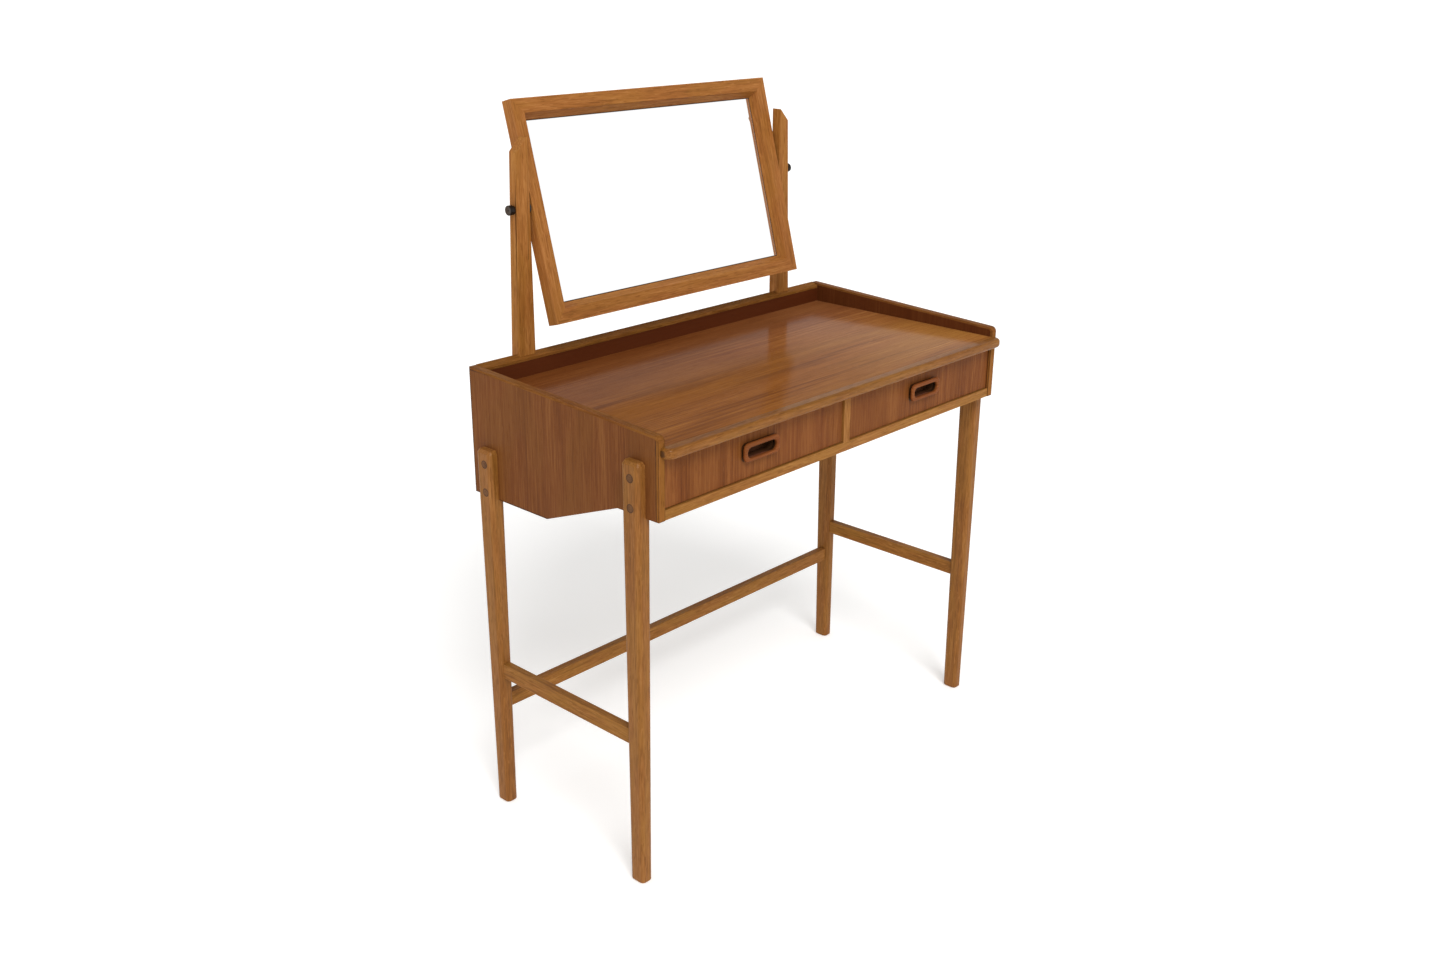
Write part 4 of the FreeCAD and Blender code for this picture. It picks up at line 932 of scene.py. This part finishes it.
class KnobPieces(bpy.types.Operator):
    """Black clamping knobs, each a surface of revolution with a dished face"""
    bl_idname = "vanity.knob_pieces"
    bl_label = "Make the knobs"

    def moulded(self, sizes):
        """Black moulding with fine scratches, a bloom and a painted highlight in the face's
        hollow.
        """
        finish = Finish("knob_black")
        place, half = laid_out(finish, ["knob_left", "knob_right"], ALONG_X)
        scratches = finish.step(finish.noise(place, (500.0, 2200.0, 260.0), 2.0), 0.55, 0.7)
        bloom = finish.noise(place, (240.0, 240.0, 240.0), 3.0)
        along, across, up = finish.parts(place)
        reach = (across * across + up * up) ** 0.5
        dish = [sizes.dish_radius + beyond for beyond in DISH_RIM]
        outer = [float(half[0]) - depth for depth in FACE_ONLY]
        # the face's painted highlight
        face = (finish.step(reach, sizes.dimple_radius * 0.5, sizes.dimple_radius * 1.1)
                * (1 - finish.step(reach, *dish)) * finish.step(abs(along), *outer))
        tone = finish.blend(face * 0.75 + scratches * 0.12 + bloom * 0.1, opaque(sizes.colour),
                            opaque(sizes.rubbed))
        return finish.wear(Base_Color=tone, Roughness=0.20 + scratches * 0.18 + bloom * 0.12,
                           Specular_IOR_Level=0.15,
                           Normal=finish.bump(scratches, 0.12, 0.00004))

    def profile(self, sizes, radius, reach):
        """(distance from the axis, distance from the seat), from the seat to the outer pole.

        The dish and the mark in its middle each sink by a quarter of a sine wave.
        """
        seat, neck, rim = sizes.seat_rounding, sizes.neck_radius, sizes.rim_radius
        root, heel = 0.0006, 0.0008
        slope = np.linspace(0.0, 1.0, 14)
        dish = sizes.dish_radius + (sizes.dimple_radius - sizes.dish_radius) * slope
        dish_drop = sizes.dish_depth * np.sin(slope * math.pi / 2)
        slope = np.linspace(0.0, 1.0, 7)[1:]
        dimple = sizes.dimple_radius * (1 - slope)
        dimple_drop = sizes.dish_depth + sizes.dimple_depth * np.sin(slope * math.pi / 2)
        return np.concatenate([
            [[0.0, 0.0], [neck - seat, 0.0]],
            arc((neck - seat, seat), seat, -90, 0, 4),
            arc((neck + root, sizes.neck_length - root), root, 180, 90, 4),
            arc((radius - heel, sizes.neck_length + heel), heel, -90, 0, 6),
            arc((radius - rim, reach - rim), rim, 0, 90, 14),
            np.stack([dish, reach - dish_drop], axis=-1),
            np.stack([dimple, reach - dimple_drop], axis=-1),
        ])

    def execute(self, context):
        """Each knob: (seat + a, r cos t, r sin t) for (r, a) on the profile."""
        sizes = context.scene.vanity_knob
        black = self.moulded(sizes)
        turn = np.linspace(0.0, 2 * math.pi, sizes.steps, endpoint=False)
        for side, outward in zip(SIDES, (-1.0, 1.0)):
            node = "knob_" + side
            middle, half = placing(node)
            away, ahead = self.profile(sizes, half[2] - sizes.rim_trim, 2 * half[0]).T[:, :, None]
            across = away * np.cos(turn)
            up = away * np.sin(turn) * -outward
            along = np.broadcast_to(middle[0] + outward * (ahead - half[0]), across.shape)
            grid = np.stack([along, middle[1] + across, middle[2] + up], axis=-1)
            surface(*spun(grid), "clamp_knob_" + side, node, node, "knob", black)
        return {"FINISHED"}


class Stage(bpy.types.Operator):
    """Pale floor, white surroundings, a large soft lamp and the camera"""
    bl_idname = "vanity.stage"
    bl_label = "Set the stage"

    def floor(self, sizes):
        """A round floor: point (i, j) is at r_i (cos t_j, sin t_j)."""
        turn = np.linspace(0.0, 2 * math.pi, 96, endpoint=False)
        reach = np.array([0.0, 0.5, 1.5, 4.0, sizes.floor_radius])[:, None]
        across, deep = reach * np.cos(turn), reach * np.sin(turn)
        finish = Finish("studio_floor")
        scuffs = finish.noise(finish.here(), (3.0, 3.0, 3.0), 4.0)
        light = opaque(sizes.floor_colour)
        glow = opaque([warmth * value for warmth, value in zip((1.0, 0.985, 0.95), light)])
        tone = finish.blend(scuffs * 0.3, light, opaque([0.96 * value for value in light]))
        finish.wear(Base_Color=tone, Roughness=0.7 + scuffs * 0.1, Emission_Color=glow,
                    Emission_Strength=sizes.floor_glow)
        grid = np.stack([across, deep, np.zeros(across.shape)], axis=-1)
        shaped(*spun(grid, closed=False), "studio_floor", finish.holder)

    def camera(self, sizes):
        """A camera that looks ahead, its picture's right and top turned by the roll."""
        camera = bpy.data.cameras.new("camera")
        camera.sensor_fit = "HORIZONTAL"
        camera.sensor_width = 36.0
        camera.lens = sizes.camera_lens
        camera.clip_end = 100.0
        turn, drop, roll = sizes.camera_turn, sizes.camera_drop, sizes.camera_roll
        ahead = Vector((-math.sin(turn) * math.cos(drop), math.cos(turn) * math.cos(drop),
                        -math.sin(drop)))
        level = ahead.cross(Vector((0.0, 0.0, 1.0))).normalized()
        up = level.cross(ahead)
        right = math.cos(roll) * level + math.sin(roll) * up
        above = math.cos(roll) * up - math.sin(roll) * level
        stand = bpy.data.objects.new("camera", camera)
        stand.matrix_world = Matrix.Translation(sizes.camera_place) @ Matrix(
            (right, above, -ahead)).transposed().to_4x4()
        return stand

    def execute(self, context):
        sizes = context.scene.vanity_stage
        scene = context.scene
        self.floor(sizes)
        white = Finish("studio_white", "worlds", "Background")
        towards = white.add("ShaderNodeTexCoord").outputs["Generated"]
        fall = white.add("ShaderNodeMapRange", {"interpolation_type": "SMOOTHSTEP"},
                         {"Value": white.parts(towards)[2],
                          "From Min": math.sin(sizes.screen_top),
                          "From Max": math.sin(sizes.ceiling_from),
                          "To Min": sizes.sky, "To Max": sizes.ceiling})
        scene.world = white.wear(Color=(1.0, 1.0, 1.0, 1.0), Strength=fall.outputs[0])
        lamp = bpy.data.lights.new("key_lamp", "SUN")
        lamp.angle = sizes.key_width
        lamp.energy = sizes.key_power
        holder = bpy.data.objects.new("key_lamp", lamp)
        holder.rotation_euler = Vector(sizes.key_from).to_track_quat("Z", "Y").to_euler()
        scene.collection.objects.link(holder)
        stand = self.camera(sizes)
        scene.collection.objects.link(stand)
        scene.camera = stand
        scene.view_settings.view_transform = "Standard"
        return {"FINISHED"}


# ---------------------------------------------------------------- sidebar and order of work
STEPS = (CaseFinish, DrawerFinish, HandlePieces, LegFinish, PostFinish, MirrorFinish, PivotFinish,
         KnobPieces, Stage)
GROUPS = {"vanity_timber": TimberSizes, "vanity_handle": HandleSizes, "vanity_knob": KnobSizes,
          "vanity_stage": StageSizes}


class VanityPanel(bpy.types.Panel):
    """Lists the steps and the sizes and colours they use"""
    bl_idname = "VIEW3D_PT_vanity_table"
    bl_label = "Vanity table"
    bl_space_type = "VIEW_3D"
    bl_region_type = "UI"
    bl_category = "Vanity table"

    def draw(self, context):
        for step in STEPS:
            self.layout.operator(step.bl_idname)
        for name, group in GROUPS.items():
            box = self.layout.box()
            for key in group.__annotations__:
                box.prop(getattr(context.scene, name), key)


def register():
    for group in GROUPS.values():
        bpy.utils.register_class(group)
    for name, group in GROUPS.items():
        setattr(bpy.types.Scene, name, PointerProperty(type=group))
    for step in STEPS + (VanityPanel,):
        bpy.utils.register_class(step)


def unregister():
    for step in reversed(STEPS + (VanityPanel,)):
        bpy.utils.unregister_class(step)
    for name, group in GROUPS.items():
        delattr(bpy.types.Scene, name)
        bpy.utils.unregister_class(group)


def main():
    register()
    for step in STEPS:
        area, action = step.bl_idname.split(".")
        getattr(getattr(bpy.ops, area), action)()


if __name__ == "__main__":
    main()
